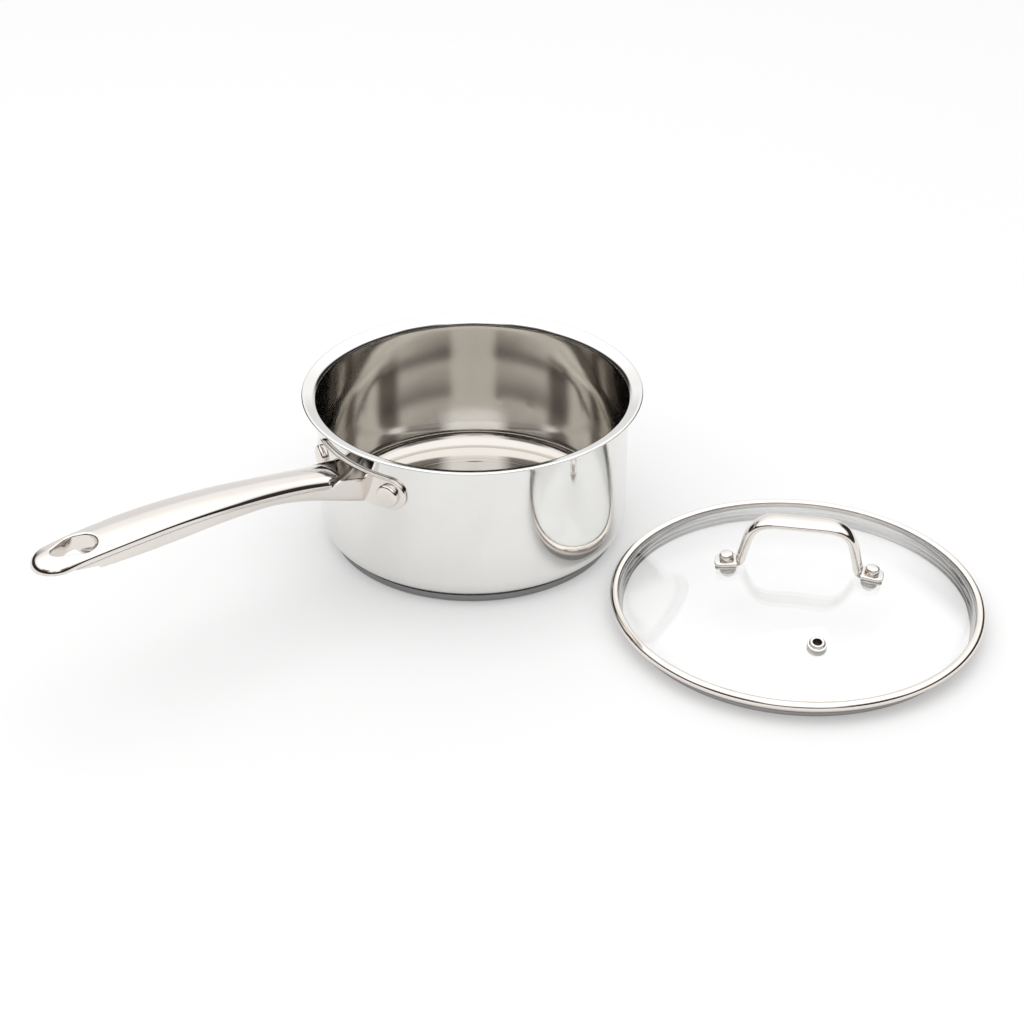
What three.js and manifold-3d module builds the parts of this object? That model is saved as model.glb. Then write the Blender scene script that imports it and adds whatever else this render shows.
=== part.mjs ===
// Stainless steel saucepan with a long riveted handle, and its domed glass lid laid beside it.
// Millimetres, +Z up. The origin is the centre of the pan's flat underside and the handle runs along -X.
import * as THREE from 'three';
import { mergeVertices } from 'three/addons/utils/BufferGeometryUtils.js';
import Module from 'manifold-3d';

const wasm = await Module();
wasm.setup();

// ---- Driving dimensions ------------------------------------------------------------------------
const GAP = 0.3;                 // clearance left between pieces that touch

// Pan
const PAN_INNER_R = 80;
const PAN_SHEET = 0.8;
const PAN_CORNER_R = 9.6;        // middle of the sheet, where the wall turns into the floor
const FLOOR_UNDERSIDE_Z = 4.3;
const FLARE_START_Z = 78.2;      // where the straight wall turns outwards into the pouring lip
const FLARE_R = 3.45;
const LIP_OUTER_R = 88;
const LIP_RISE = THREE.MathUtils.degToRad(16);

// Layered base
const BASE_R = 75.4;
const CAP_SHEET = 0.6;
const CAP_TOP_Z = 4.6;
const CAP_EDGE_R = 2.2;
const CORE_BOTTOM_Z = 0.9;

// Handle: height of the crease between its top face and its sides, from the pan to the tip
const CREASE = new THREE.CubicBezierCurve(
  new THREE.Vector2(80, 66.4), new THREE.Vector2(140, 81.5),
  new THREE.Vector2(185, 90), new THREE.Vector2(262, 87.3),
);
const HANDLE_SHEET = 1.2;
const HANDLE_CROWN = 2.2;        // rise of the top face above the crease
const TIP_CENTRE = 248;          // distance from the pan's axis where the rounded tip starts
const TIP_END = 260;
const TOP_FLANGE = 3;            // depth of the top shell's folded edge
const TOP_SHELL_START = 94;
const FLANGE_START = 101;        // the folded edge stops short of the pan and leaves the neck open
const FLOOR_END = 232;           // the lower shell's floor stops at the hang hole
// [distance from the pan's axis, half width, depth of the sides below the crease]
const HANDLE_FORM = [
  [78, 13.2, 14.4], [90, 11.7, 13.3], [103, 10.2, 11.6], [116, 9.6, 9.8], [135, 10, 8.2],
  [158, 11.2, 8.8], [190, 12.1, 10.2], [216, 12.4, 9.8], [TIP_CENTRE, 11.6, 7.4],
];
const HANG_HOLE = { bigX: 236, bigR: 8.1, smallX: 246.4, smallR: 3.8, depth: 6.4 };

// Bracket riveted to the pan's wall
const BRACKET_SHEET = 1.8;
const BRACKET_MID_Z = 62;
const BRACKET_HEIGHT = 17;
const EAR_ANGLE = THREE.MathUtils.degToRad(18.4);
const RIVET_R = 2.4;
const RIVET_HEAD_R = 6;
const RIVET_HEAD_HEIGHT = 2.9;
const INNER_HEAD_R = 5;
const INNER_HEAD_HEIGHT = 1.7;

// Lid, lying right way up on the surface that the pan stands on
const LID_DISTANCE = 182.6;
const LID_BEARING = THREE.MathUtils.degToRad(-69.7);
const LID_HANDLE_TURN = THREE.MathUtils.degToRad(-52.9);
const GLASS_THICKNESS = 3;
const DOME_R = 238.5;
const DOME_TOP_Z = 26.9;
const DOME_END_R = 86;           // outside this the glass is a flat flange
const GLASS_R = 90.9;
const BAND_R = 93.1;
const BAND_SHEET = 0.5;
const BAND_TOP_Z = 11.1;
const BAND_BOTTOM_Z = 6.5;
const BAND_INNER_R = 89;
const SKIRT_TOP_R = 88.1;
const SKIRT_BOTTOM_R = 86.2;
const SEAL_INNER_R = 91.2;

// Lid handle and its fixings, measured along the dome's normal from the glass's upper face
const SCREW_REACH = 35.2;
const SCREW_R = 2;
const SCREW_HEAD_R = 3.6;
const SCREW_HEAD_HEIGHT = 3.2;
const PAD_THICKNESS = 1;
const FOOT_THICKNESS = 2;
const FOOT_WIDTH = 10.4;
const LEG_WIDTH = 8.8;
const LEG_THICKNESS = 4.4;
const BAR_WIDTH = 11.6;
const BAR_THICKNESS = 5;
const BAR_TOP_Z = 54.8;
const SILICONE_THICKNESS = 0.8;
const WASHER_THICKNESS = 0.6;
const WASHER_R = 4.2;
const NUT_R = 3.2;
const NUT_HEIGHT = 2.2;

// Steam vent
const VENT_REACH = 57;
const VENT_TURN = THREE.MathUtils.degToRad(-77.1);
const VENT_BORE_R = 2;
const VENT_TUBE_R = 2.6;
const VENT_RING_R = 3.7;
const VENT_FLANGE_R = 4.8;

const BIG_SEGMENTS = 48;
const SMALL_SEGMENTS = 20;

// ---- Materials ---------------------------------------------------------------------------------
const steel = (roughness, colour = 0xd9d6d1) =>
  new THREE.MeshStandardMaterial({ color: colour, metalness: 1, roughness });
const polishedSteel = () => steel(0.08);
const satinSteel = () => steel(0.35, 0xb4b2ae);
const aluminium = () => steel(0.45, 0xc4c5c7);
const glass = () => new THREE.MeshStandardMaterial({
  color: 0xe9f1ee, metalness: 0, roughness: 0.03, transparent: true, opacity: 0.3,
});
const silicone = () => new THREE.MeshStandardMaterial({ color: 0xd8d8d4, metalness: 0, roughness: 0.6 });

// ---- Helpers -----------------------------------------------------------------------------------
const v2 = (x, y) => new THREE.Vector2(x, y);

// Turns a closed geometry into a solid, whichever way its faces were wound.
function solid(geometry) {
  const bare = geometry.clone();
  bare.deleteAttribute('normal');
  bare.deleteAttribute('uv');
  const merged = mergeVertices(bare, 1e-4);
  const vertProperties = Float32Array.from(merged.attributes.position.array);
  const corner = (i) => new THREE.Vector3().fromArray(vertProperties, 3 * i);
  const index = merged.index.array;
  const triangles = [];
  let volume = 0;
  for (let i = 0; i < index.length; i += 3) {
    const [a, b, c] = [index[i], index[i + 1], index[i + 2]];
    if (a !== b && b !== c && c !== a) {
      triangles.push(a, b, c);
      volume += corner(a).dot(corner(b).cross(corner(c)));
    }
  }
  if (volume < 0) triangles.reverse();
  const mesh = new wasm.Mesh({ numProp: 3, vertProperties, triVerts: Uint32Array.from(triangles) });
  mesh.merge();
  return new wasm.Manifold(mesh);
}

function geometryOf(manifold) {
  const { vertProperties, triVerts } = manifold.getMesh();
  const geometry = new THREE.BufferGeometry();
  geometry.setAttribute('position', new THREE.BufferAttribute(new Float32Array(vertProperties), 3));
  geometry.setIndex(Array.from(triVerts));
  geometry.computeVertexNormals();
  return geometry;
}

// Spins a profile of [radius, height] points round the Z axis.
const spin = (profile, segments = BIG_SEGMENTS) =>
  new THREE.LatheGeometry(profile, segments).rotateX(Math.PI / 2);

// Closes a profile that keeps clear of the axis.
const closed = (profile) => [...profile, profile[0].clone()];

// Both faces of a sheet that follows a line of points, as one outline.
function sheetOutline(line, thickness) {
  const side = (sign) => line.map((point, i) => {
    const before = line[Math.max(i - 1, 0)];
    const after = line[Math.min(i + 1, line.length - 1)];
    const along = after.clone().sub(before).normalize();
    return v2(point.x + sign * along.y * thickness / 2, point.y - sign * along.x * thickness / 2);
  });
  return [...side(1), ...side(-1).reverse()];
}

// A flat ring or disc between two heights.
const ring = (innerR, outerR, bottom, top, segments = SMALL_SEGMENTS) =>
  spin(closed([v2(innerR, bottom), v2(outerR, bottom), v2(outerR, top), v2(innerR, top)]), segments);
const rod = (radius, bottom, top, segments = SMALL_SEGMENTS) =>
  spin([v2(0, bottom), v2(radius, bottom), v2(radius, top), v2(0, top)], segments);

// Skins a row of matching convex loops and caps both ends.
function loft(loops) {
  const count = loops[0].length;
  const positions = loops.flat().flatMap((point) => [point.x, point.y, point.z]);
  const index = [];
  for (let i = 0; i < loops.length - 1; i++) {
    for (let j = 0; j < count; j++) {
      const [a, b] = [i * count + j, i * count + (j + 1) % count];
      index.push(a, b, b + count, a, b + count, a + count);
    }
  }
  const last = (loops.length - 1) * count;
  for (let j = 1; j < count - 1; j++) {
    index.push(0, j + 1, j, last, last + j, last + j + 1);
  }
  const geometry = new THREE.BufferGeometry();
  geometry.setAttribute('position', new THREE.Float32BufferAttribute(positions, 3));
  geometry.setIndex(index);
  return geometry;
}

// A prism: an outline in the XZ plane, as wide as the handle and more.
function sidePrism(outline, halfWidth = 40) {
  const geometry = new THREE.ExtrudeGeometry(new THREE.Shape(outline), {
    depth: 2 * halfWidth, bevelEnabled: false, steps: 1,
  });
  return solid(geometry.rotateX(Math.PI / 2).translate(0, halfWidth, 0));
}

// A prism: an outline in the XY plane between two heights.
function plumbPrism(outline, bottom, top) {
  const geometry = new THREE.ExtrudeGeometry(new THREE.Shape(outline), {
    depth: top - bottom, bevelEnabled: false, steps: 1, curveSegments: 8,
  });
  return solid(geometry.translate(0, 0, bottom));
}

function node(name, geometry, material) {
  const mesh = new THREE.Mesh(geometry, material);
  mesh.name = name;
  return mesh;
}

// ---- Pan ---------------------------------------------------------------------------------------
// A geometry made along +Z, laid along the radius that leaves the pan's axis towards a rivet.
function alongRivet(geometry, side) {
  return geometry.rotateY(-Math.PI / 2).rotateZ(side * EAR_ANGLE).translate(0, 0, BRACKET_MID_Z);
}

const rivetHole = (side) =>
  solid(alongRivet(rod(RIVET_R + GAP, PAN_INNER_R - 4, PAN_INNER_R + 8), side));

function panBody() {
  const wallR = PAN_INNER_R + PAN_SHEET / 2;
  const floorZ = FLOOR_UNDERSIDE_Z + PAN_SHEET / 2;
  const flareCentre = wallR + FLARE_R;
  const flareEnd = Math.PI / 2 + LIP_RISE;
  const lipRun = LIP_OUTER_R - flareCentre - FLARE_R * Math.cos(flareEnd);
  const path = new THREE.Path().moveTo(0, floorZ).lineTo(wallR - PAN_CORNER_R, floorZ);
  path.absarc(wallR - PAN_CORNER_R, floorZ + PAN_CORNER_R, PAN_CORNER_R, -Math.PI / 2, 0, false);
  path.absarc(flareCentre, FLARE_START_Z, FLARE_R, Math.PI, flareEnd, true);
  path.lineTo(LIP_OUTER_R, path.currentPoint.y + lipRun * Math.tan(LIP_RISE));
  const shell = solid(spin(sheetOutline(path.getPoints(3), PAN_SHEET)));
  return geometryOf(shell.subtract(rivetHole(1)).subtract(rivetHole(-1)));
}

// Steel cap of the layered base: a shallow dish whose edge stops just under the pan's corner.
function baseCap() {
  const path = new THREE.Path().moveTo(0, CAP_SHEET / 2);
  const outerR = BASE_R - CAP_SHEET / 2;
  path.lineTo(outerR - CAP_EDGE_R, CAP_SHEET / 2);
  path.absarc(outerR - CAP_EDGE_R, CAP_SHEET / 2 + CAP_EDGE_R, CAP_EDGE_R, -Math.PI / 2, 0, false);
  path.lineTo(outerR, CAP_TOP_Z);
  return spin(sheetOutline(path.getPoints(3), CAP_SHEET));
}

// Aluminium disc that fills the cap and follows the pan's rounded corner.
function baseCore() {
  const outerR = BASE_R - CAP_SHEET - GAP;
  const cornerR = PAN_CORNER_R + PAN_SHEET / 2;
  const cornerX = PAN_INNER_R + PAN_SHEET - cornerR;
  const cornerZ = FLOOR_UNDERSIDE_Z + cornerR;
  const edgeAngle = -Math.acos((outerR - cornerX) / (cornerR + GAP));
  const path = new THREE.Path().moveTo(0, CORE_BOTTOM_Z).lineTo(outerR - CAP_EDGE_R, CORE_BOTTOM_Z);
  path.lineTo(outerR, CORE_BOTTOM_Z + CAP_EDGE_R);
  path.absarc(cornerX, cornerZ, cornerR + GAP, edgeAngle, -Math.PI / 2, true);
  path.lineTo(0, FLOOR_UNDERSIDE_Z - GAP);
  return spin(path.getPoints(2));
}

// A rivet: flat inner head, shank through wall and bracket, domed outer head.
function rivet(side) {
  const outerBase = PAN_INNER_R + PAN_SHEET + GAP + BRACKET_SHEET + GAP;
  const innerBase = PAN_INNER_R - 2 * GAP;
  const path = new THREE.Path().moveTo(0, innerBase - INNER_HEAD_HEIGHT);
  path.lineTo(INNER_HEAD_R * 0.7, innerBase - INNER_HEAD_HEIGHT * 0.85);
  path.lineTo(INNER_HEAD_R, innerBase - INNER_HEAD_HEIGHT * 0.3);
  path.lineTo(INNER_HEAD_R, innerBase).lineTo(RIVET_R, innerBase).lineTo(RIVET_R, outerBase);
  path.lineTo(RIVET_HEAD_R, outerBase).lineTo(RIVET_HEAD_R, outerBase + RIVET_HEAD_HEIGHT * 0.3);
  path.absellipse(0, outerBase + RIVET_HEAD_HEIGHT * 0.3, RIVET_HEAD_R, RIVET_HEAD_HEIGHT * 0.7,
    0, Math.PI / 2, false, 0);
  return alongRivet(spin(path.getPoints(2), SMALL_SEGMENTS), side);
}

// ---- Handle ------------------------------------------------------------------------------------
// Smooth value of one column of HANDLE_FORM at a distance from the pan's axis.
function formAt(column, distance) {
  const rows = HANDLE_FORM;
  let i = 0;
  while (i < rows.length - 2 && distance > rows[i + 1][0]) i += 1;
  const slope = (k) => {
    const [before, after] = [rows[Math.max(k - 1, 0)], rows[Math.min(k + 1, rows.length - 1)]];
    return (after[column] - before[column]) / (after[0] - before[0]);
  };
  const span = rows[i + 1][0] - rows[i][0];
  const t = (distance - rows[i][0]) / span;
  const [t2, t3] = [t * t, t * t * t];
  return (2 * t3 - 3 * t2 + 1) * rows[i][column] + (t3 - 2 * t2 + t) * span * slope(i)
    + (3 * t2 - 2 * t3) * rows[i + 1][column] + (t3 - t2) * span * slope(i + 1);
}

function creaseZ(distance) {
  let [low, high] = [0, 1];
  for (let i = 0; i < 30; i++) {
    const middle = (low + high) / 2;
    if (CREASE.getPoint(middle).x < distance) low = middle;
    else high = middle;
  }
  return CREASE.getPoint(low).y;
}

// One cross-section: crowned top face, straight sides, rounded bottom corners.
function handleLoop(distance, halfWidth, depth, inset, lift, drop) {
  const crease = creaseZ(distance);
  const crown = HANDLE_CROWN * Math.min(halfWidth / 8, 1);
  const cornerR = Math.min(2.4, halfWidth * 0.3);
  const footHalf = halfWidth - 0.06 * depth;
  const topSteps = 4;
  const right = [];
  for (let k = 0; k <= topSteps; k++) {
    const across = k / topSteps;
    right.push([across * halfWidth, crease + crown * (1 - across * across) - inset + lift]);
  }
  const floor = crease - depth + inset - drop;
  for (const turn of [0, 0.5, 1]) {
    const angle = turn * Math.PI / 2;
    right.push([footHalf - cornerR * (1 - Math.cos(angle)), floor + cornerR * (1 - Math.sin(angle))]);
  }
  const left = right.slice(1).reverse().map(([y, z]) => [-y, z]);
  return [...right, ...left].map(([y, z]) => new THREE.Vector3(-distance, y, z));
}

// The handle's outer form, or the same form made smaller to hollow it out.
function handleForm({ inset = 0, lift = 0, drop = 0 } = {}) {
  const loops = [];
  for (let distance = 78; distance < TIP_CENTRE - 1; distance += 8.5) {
    loops.push(handleLoop(distance, formAt(1, distance) - inset, formAt(2, distance), inset, lift, drop));
  }
  for (const turn of [0, 0.22, 0.42, 0.62, 0.8, 0.94]) {
    const angle = turn * Math.PI / 2;
    const distance = TIP_CENTRE + (TIP_END - TIP_CENTRE - inset) * Math.sin(angle);
    const halfWidth = (formAt(1, TIP_CENTRE) - inset) * Math.cos(angle);
    loops.push(handleLoop(distance, halfWidth, formAt(2, TIP_CENTRE), inset, lift, drop));
  }
  return solid(loft(loops));
}

// Outline in the XZ plane of everything above (or below) the seam between the two shells.
function seamSide(above) {
  const far = above ? 130 : 20;
  const shift = above ? GAP / 2 : -GAP / 2;
  const outline = [v2(-70, far), v2(-70, creaseZ(81) + shift)];
  if (!above) {
    for (let distance = 81; distance < FLANGE_START; distance += 6) {
      outline.push(v2(-distance, creaseZ(distance) + shift));
    }
    outline.push(v2(-FLANGE_START + 2 * GAP, creaseZ(FLANGE_START) + shift));
  }
  for (let distance = FLANGE_START - (above ? 25 : 2 * GAP); distance < TIP_END + 8; distance += 9) {
    outline.push(v2(-distance, creaseZ(Math.max(distance, 81)) - TOP_FLANGE + shift));
  }
  outline.push(v2(-TIP_END - 20, creaseZ(TIP_END) - TOP_FLANGE + shift), v2(-TIP_END - 20, far));
  return sidePrism(outline);
}

// Egg-shaped outline of the hang hole, grown outwards by an offset.
function hangHoleOutline(offset) {
  const { bigX, bigR, smallX, smallR } = HANG_HOLE;
  const lean = Math.asin((bigR - smallR) / (smallX - bigX));
  const outline = new THREE.Path();
  outline.absarc(-bigX, 0, bigR + offset, -Math.PI / 2 - lean, Math.PI / 2 + lean, false);
  outline.absarc(-smallX, 0, smallR + offset, Math.PI / 2 + lean, 1.5 * Math.PI - lean, false);
  return outline.getPoints(5);
}

const wallCutter = () =>
  solid(rod(PAN_INNER_R + PAN_SHEET + BRACKET_SHEET + 2 * GAP, 20, 120, 96));

// Upper shell: crowned face with folded edges, a tongue over the open neck, and a collar drawn
// down round the hang hole.
function handleTopShell() {
  const form = handleForm();
  const hollow = handleForm({ inset: HANDLE_SHEET, drop: 30 });
  const [start, end] = [TOP_SHELL_START, FLANGE_START];
  const neckCut = plumbPrism([
    v2(-70, -30), v2(-end, -30), v2(-end, -8.6), v2(-start, -6.8),
    v2(-start, 6.8), v2(-end, 8.6), v2(-end, 30), v2(-70, 30),
  ], 40, 120);
  const holeZ = creaseZ(HANG_HOLE.bigX);
  const collar = plumbPrism(hangHoleOutline(HANDLE_SHEET), holeZ - HANG_HOLE.depth, holeZ + 9).intersect(form);
  const hole = plumbPrism(hangHoleOutline(0), holeZ - 30, holeZ + 30);
  const skin = form.intersect(seamSide(true)).subtract(hollow).subtract(neckCut);
  return geometryOf(skin.add(collar).subtract(hole));
}

// Lower shell: open trough from the bracket to the hang hole, then two rails that run out at the tip.
function handleBottomShell() {
  const trough = handleForm().intersect(seamSide(false)).subtract(handleForm({ inset: HANDLE_SHEET, lift: 30 }));
  const railEnd = TIP_CENTRE - 3;
  const underTip = sidePrism([
    v2(-FLOOR_END, 40), v2(-FLOOR_END, creaseZ(FLOOR_END) - 6.6),
    v2(-railEnd, creaseZ(railEnd) - TOP_FLANGE - 2 * GAP), v2(-railEnd, 100), v2(-TIP_END - 20, 100),
    v2(-TIP_END - 20, 40),
  ]);
  return geometryOf(trough.subtract(underTip).subtract(wallCutter()));
}

// Bracket: a curved plate against the wall with a rounded ear at each end.
function handleBracket() {
  const innerR = PAN_INNER_R + PAN_SHEET + GAP;
  const [low, high] = [BRACKET_MID_Z - BRACKET_HEIGHT / 2, BRACKET_MID_Z + BRACKET_HEIGHT / 2];
  const plate = solid(ring(innerR, innerR + BRACKET_SHEET, low, high, 120));
  const earY = innerR * Math.sin(EAR_ANGLE);
  const outline = new THREE.Path();
  outline.absarc(earY, 0, BRACKET_HEIGHT / 2, -Math.PI / 2, Math.PI / 2, false);
  outline.absarc(-earY, 0, BRACKET_HEIGHT / 2, Math.PI / 2, 1.5 * Math.PI, false);
  const stadium = new THREE.ExtrudeGeometry(new THREE.Shape(outline.getPoints(6)), {
    depth: 60, bevelEnabled: false, steps: 1,
  });
  stadium.rotateX(Math.PI / 2).rotateZ(Math.PI / 2).translate(-100, 0, BRACKET_MID_Z);
  return geometryOf(plate.intersect(solid(stadium)).subtract(rivetHole(1)).subtract(rivetHole(-1)));
}

// ---- Lid ---------------------------------------------------------------------------------------
// Everything below is made round the lid's own axis, with its handle along +X.
const domeZ = (reach) => DOME_TOP_Z - DOME_R + Math.sqrt(DOME_R ** 2 - reach ** 2);

// Stands a geometry that was made along +Z from the glass's upper face on the dome.
function onDome(geometry, reach, turn) {
  const tilt = Math.asin(reach / DOME_R);
  return geometry.rotateY(tilt).translate(reach, 0, domeZ(reach)).rotateZ(turn);
}

const screwTurn = (side) => (side > 0 ? 0 : Math.PI);

function lidGlass() {
  const flangeZ = BAND_TOP_Z - BAND_SHEET - GAP;
  const profile = [];
  for (const reach of [0, 15, 30, 45, 60, 74, DOME_END_R]) {
    profile.push(v2(reach, domeZ(reach)));
  }
  profile.push(v2(DOME_END_R + 2.4, flangeZ), v2(GLASS_R, flangeZ), v2(GLASS_R, flangeZ - GLASS_THICKNESS));
  profile.push(v2(DOME_END_R + 1.2, flangeZ - GLASS_THICKNESS));
  for (const reach of [84.4, 73, 59, 44, 29, 15, 0]) {
    const innerR = DOME_R - GLASS_THICKNESS;
    profile.push(v2(reach, DOME_TOP_Z - DOME_R + Math.sqrt(innerR ** 2 - reach ** 2)));
  }
  let dome = solid(spin(profile));
  for (const side of [1, -1]) {
    dome = dome.subtract(solid(onDome(rod(SCREW_R + 1, -8, 8), SCREW_REACH, screwTurn(side))));
  }
  const ventHole = solid(onDome(rod(VENT_TUBE_R + GAP, -8, 8), VENT_REACH, VENT_TURN));
  return geometryOf(dome.subtract(ventHole));
}

// Steel band rolled round the glass's edge, with a skirt that centres the lid on the pan.
function lidBand() {
  const half = BAND_SHEET / 2;
  const [top, bottom, outer] = [BAND_TOP_Z - half, BAND_BOTTOM_Z + half, BAND_R - half];
  const path = new THREE.Path().moveTo(BAND_INNER_R, top).lineTo(outer - 1, top);
  path.absarc(outer - 1, top - 1, 1, Math.PI / 2, 0, true);
  path.absarc(outer - 1, bottom + 1, 1, 0, -Math.PI / 2, true);
  path.lineTo(SKIRT_TOP_R + 1, bottom);
  path.quadraticCurveTo(SKIRT_TOP_R, bottom, SKIRT_TOP_R - 0.4, bottom - 1.2);
  path.lineTo(SKIRT_BOTTOM_R, half * (SKIRT_TOP_R - SKIRT_BOTTOM_R) / bottom);
  return spin(closed(sheetOutline(path.getPoints(2), BAND_SHEET)));
}

const lidSeal = () => {
  const middle = (BAND_TOP_Z + BAND_BOTTOM_Z) / 2;
  const [inner, outer] = [SEAL_INNER_R, BAND_R - BAND_SHEET - GAP];
  return spin(closed([
    v2(inner, middle - 1.2), v2(outer - 0.5, middle - 1.2), v2(outer, middle - 0.7),
    v2(outer, middle + 0.7), v2(outer - 0.5, middle + 1.2), v2(inner, middle + 1.2),
  ]));
};

// Heights along the dome's normal of the stack of fixings, from the glass outwards and inwards.
const PAD_BOTTOM = GAP;
const FOOT_BOTTOM = PAD_BOTTOM + PAD_THICKNESS + GAP;
const HEAD_BOTTOM = FOOT_BOTTOM + FOOT_THICKNESS + GAP;
const SILICONE_TOP = -GLASS_THICKNESS - GAP;
const WASHER_TOP = SILICONE_TOP - SILICONE_THICKNESS - GAP;
const NUT_TOP = WASHER_TOP - WASHER_THICKNESS - GAP;

// Rounded-rectangle section of the lid handle, square to its path.
function strapLoop(point, along, width, thickness) {
  const across = v2(-along.y, along.x);
  const cornerR = 0.42 * thickness;
  const loop = [];
  for (const [signY, signN, start] of [[1, 1, 0], [-1, 1, 0.5], [-1, -1, 1], [1, -1, 1.5]]) {
    for (const turn of [0, 0.25, 0.5]) {
      const angle = (start + turn) * Math.PI;
      const y = signY * (width / 2 - cornerR) + cornerR * Math.cos(angle);
      const n = signN * (thickness / 2 - cornerR) + cornerR * Math.sin(angle);
      loop.push(new THREE.Vector3(point.x + across.x * n, y, point.y + across.y * n));
    }
  }
  return loop;
}

// Lid handle: a strap with two flat feet, two leaning legs and a thicker bar between them.
function lidHandle() {
  const tilt = Math.asin(SCREW_REACH / DOME_R);
  const lift = FOOT_BOTTOM + FOOT_THICKNESS / 2;
  const footAt = (reach) => {
    const out = reach - SCREW_REACH;
    return v2(
      SCREW_REACH + lift * Math.sin(tilt) + out * Math.cos(tilt),
      domeZ(SCREW_REACH) + lift * Math.cos(tilt) - out * Math.sin(tilt),
    );
  };
  const [toe, heel] = [footAt(41.2), footAt(30.6)];
  const barZ = BAR_TOP_Z - BAR_THICKNESS / 2;
  const [legFoot, legTop, barEnd] = [v2(28.7, 30.4), v2(25.6, 43.5), v2(13.5, barZ)];
  const path = new THREE.Path().moveTo(toe.x, toe.y).lineTo(heel.x, heel.y);
  path.quadraticCurveTo(29.1, 27.2, legFoot.x, legFoot.y).lineTo(legTop.x, legTop.y);
  path.quadraticCurveTo(23.6, barZ, barEnd.x, barEnd.y).lineTo(0, barZ);
  const half = path.getPoints(4);
  const line = [...half, ...half.slice(0, -1).reverse().map((point) => v2(-point.x, point.y))];
  const blend = THREE.MathUtils.smoothstep;
  const loops = line.map((point, i) => {
    const along = line[Math.min(i + 1, line.length - 1)].clone().sub(line[Math.max(i - 1, 0)]).normalize();
    const reach = Math.abs(point.x);
    const onFoot = blend(reach, 28.8, 30.4);
    const onBar = 1 - blend(reach, 14, 25.5);
    const width = LEG_WIDTH + onFoot * (FOOT_WIDTH - LEG_WIDTH) + onBar * (BAR_WIDTH - LEG_WIDTH);
    const thickness = LEG_THICKNESS + onFoot * (FOOT_THICKNESS - LEG_THICKNESS)
      + onBar * (BAR_THICKNESS - LEG_THICKNESS);
    return strapLoop(point, along, width, thickness);
  });
  let strap = solid(loft(loops));
  for (const side of [1, -1]) {
    strap = strap.subtract(solid(onDome(rod(SCREW_R + GAP, -8, 9), SCREW_REACH, screwTurn(side))));
  }
  return geometryOf(strap);
}

// Cushion between a foot and the glass, the same outline as the foot.
function footPad(side) {
  const half = FOOT_WIDTH / 2 - 0.6;
  const outline = new THREE.Path();
  outline.absarc(5.2 - half + 0.8, half - 1.4, 1.4, 0, Math.PI / 2, false);
  outline.absarc(-3.6, half - 1.4, 1.4, Math.PI / 2, Math.PI, false);
  outline.absarc(-3.6, 1.4 - half, 1.4, Math.PI, 1.5 * Math.PI, false);
  outline.absarc(5.2 - half + 0.8, 1.4 - half, 1.4, 1.5 * Math.PI, 2 * Math.PI, false);
  const bore = solid(rod(SCREW_R + GAP, -2, 4));
  const block = plumbPrism(outline.getPoints(2), PAD_BOTTOM, PAD_BOTTOM + PAD_THICKNESS).subtract(bore);
  return onDome(geometryOf(block), SCREW_REACH, screwTurn(side));
}

const siliconeWasher = (side) => onDome(
  ring(SCREW_R + GAP, WASHER_R, SILICONE_TOP - SILICONE_THICKNESS, SILICONE_TOP),
  SCREW_REACH, screwTurn(side),
);
const steelWasher = (side) => onDome(
  ring(SCREW_R + GAP, WASHER_R - 0.4, WASHER_TOP - WASHER_THICKNESS, WASHER_TOP),
  SCREW_REACH, screwTurn(side),
);

// Screw: cheese head with a softened top edge, shank down into the cap nut.
function lidScrew(side) {
  const top = HEAD_BOTTOM + SCREW_HEAD_HEIGHT;
  const end = NUT_TOP - NUT_HEIGHT + 1.4;
  const path = new THREE.Path().moveTo(0, end).lineTo(SCREW_R - 0.4, end).lineTo(SCREW_R, end + 0.4);
  path.lineTo(SCREW_R, HEAD_BOTTOM).lineTo(SCREW_HEAD_R, HEAD_BOTTOM).lineTo(SCREW_HEAD_R, top - 1);
  path.absarc(SCREW_HEAD_R - 1, top - 1, 1, 0, Math.PI / 2, false);
  path.lineTo(0, top + 0.2);
  return onDome(spin(path.getPoints(2), SMALL_SEGMENTS), SCREW_REACH, screwTurn(side));
}

// Cap nut: round, closed and domed at its lower end, bored from above.
function capNut(side) {
  const bottom = NUT_TOP - NUT_HEIGHT;
  const boreR = SCREW_R + GAP;
  return onDome(spin([
    v2(0, bottom), v2(NUT_R * 0.6, bottom + 0.3), v2(NUT_R, bottom + 1.6), v2(NUT_R, NUT_TOP),
    v2(boreR, NUT_TOP), v2(boreR, bottom + 1), v2(0, bottom + 1),
  ], SMALL_SEGMENTS), SCREW_REACH, screwTurn(side));
}

// Vent: a steel eyelet with a raised ring on top, turned over below a washer.
function ventEyelet() {
  const turnedTop = -GLASS_THICKNESS - GAP - WASHER_THICKNESS - GAP;
  return onDome(spin(closed([
    v2(VENT_BORE_R, turnedTop - 0.6), v2(VENT_RING_R, turnedTop - 0.6), v2(VENT_RING_R, turnedTop),
    v2(VENT_TUBE_R, turnedTop), v2(VENT_TUBE_R, GAP), v2(VENT_FLANGE_R, GAP),
    v2(VENT_FLANGE_R, GAP + 0.5), v2(VENT_RING_R + 0.2, GAP + 0.9), v2(VENT_RING_R - 0.2, 2),
    v2(VENT_RING_R - 0.9, 2.4), v2(VENT_BORE_R + 0.5, 2.4), v2(VENT_BORE_R, 1.9),
  ]), SMALL_SEGMENTS), VENT_REACH, VENT_TURN);
}

const ventWasher = () => onDome(
  ring(VENT_TUBE_R + GAP, VENT_FLANGE_R, -GLASS_THICKNESS - GAP - WASHER_THICKNESS, -GLASS_THICKNESS - GAP),
  VENT_REACH, VENT_TURN,
);

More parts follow.
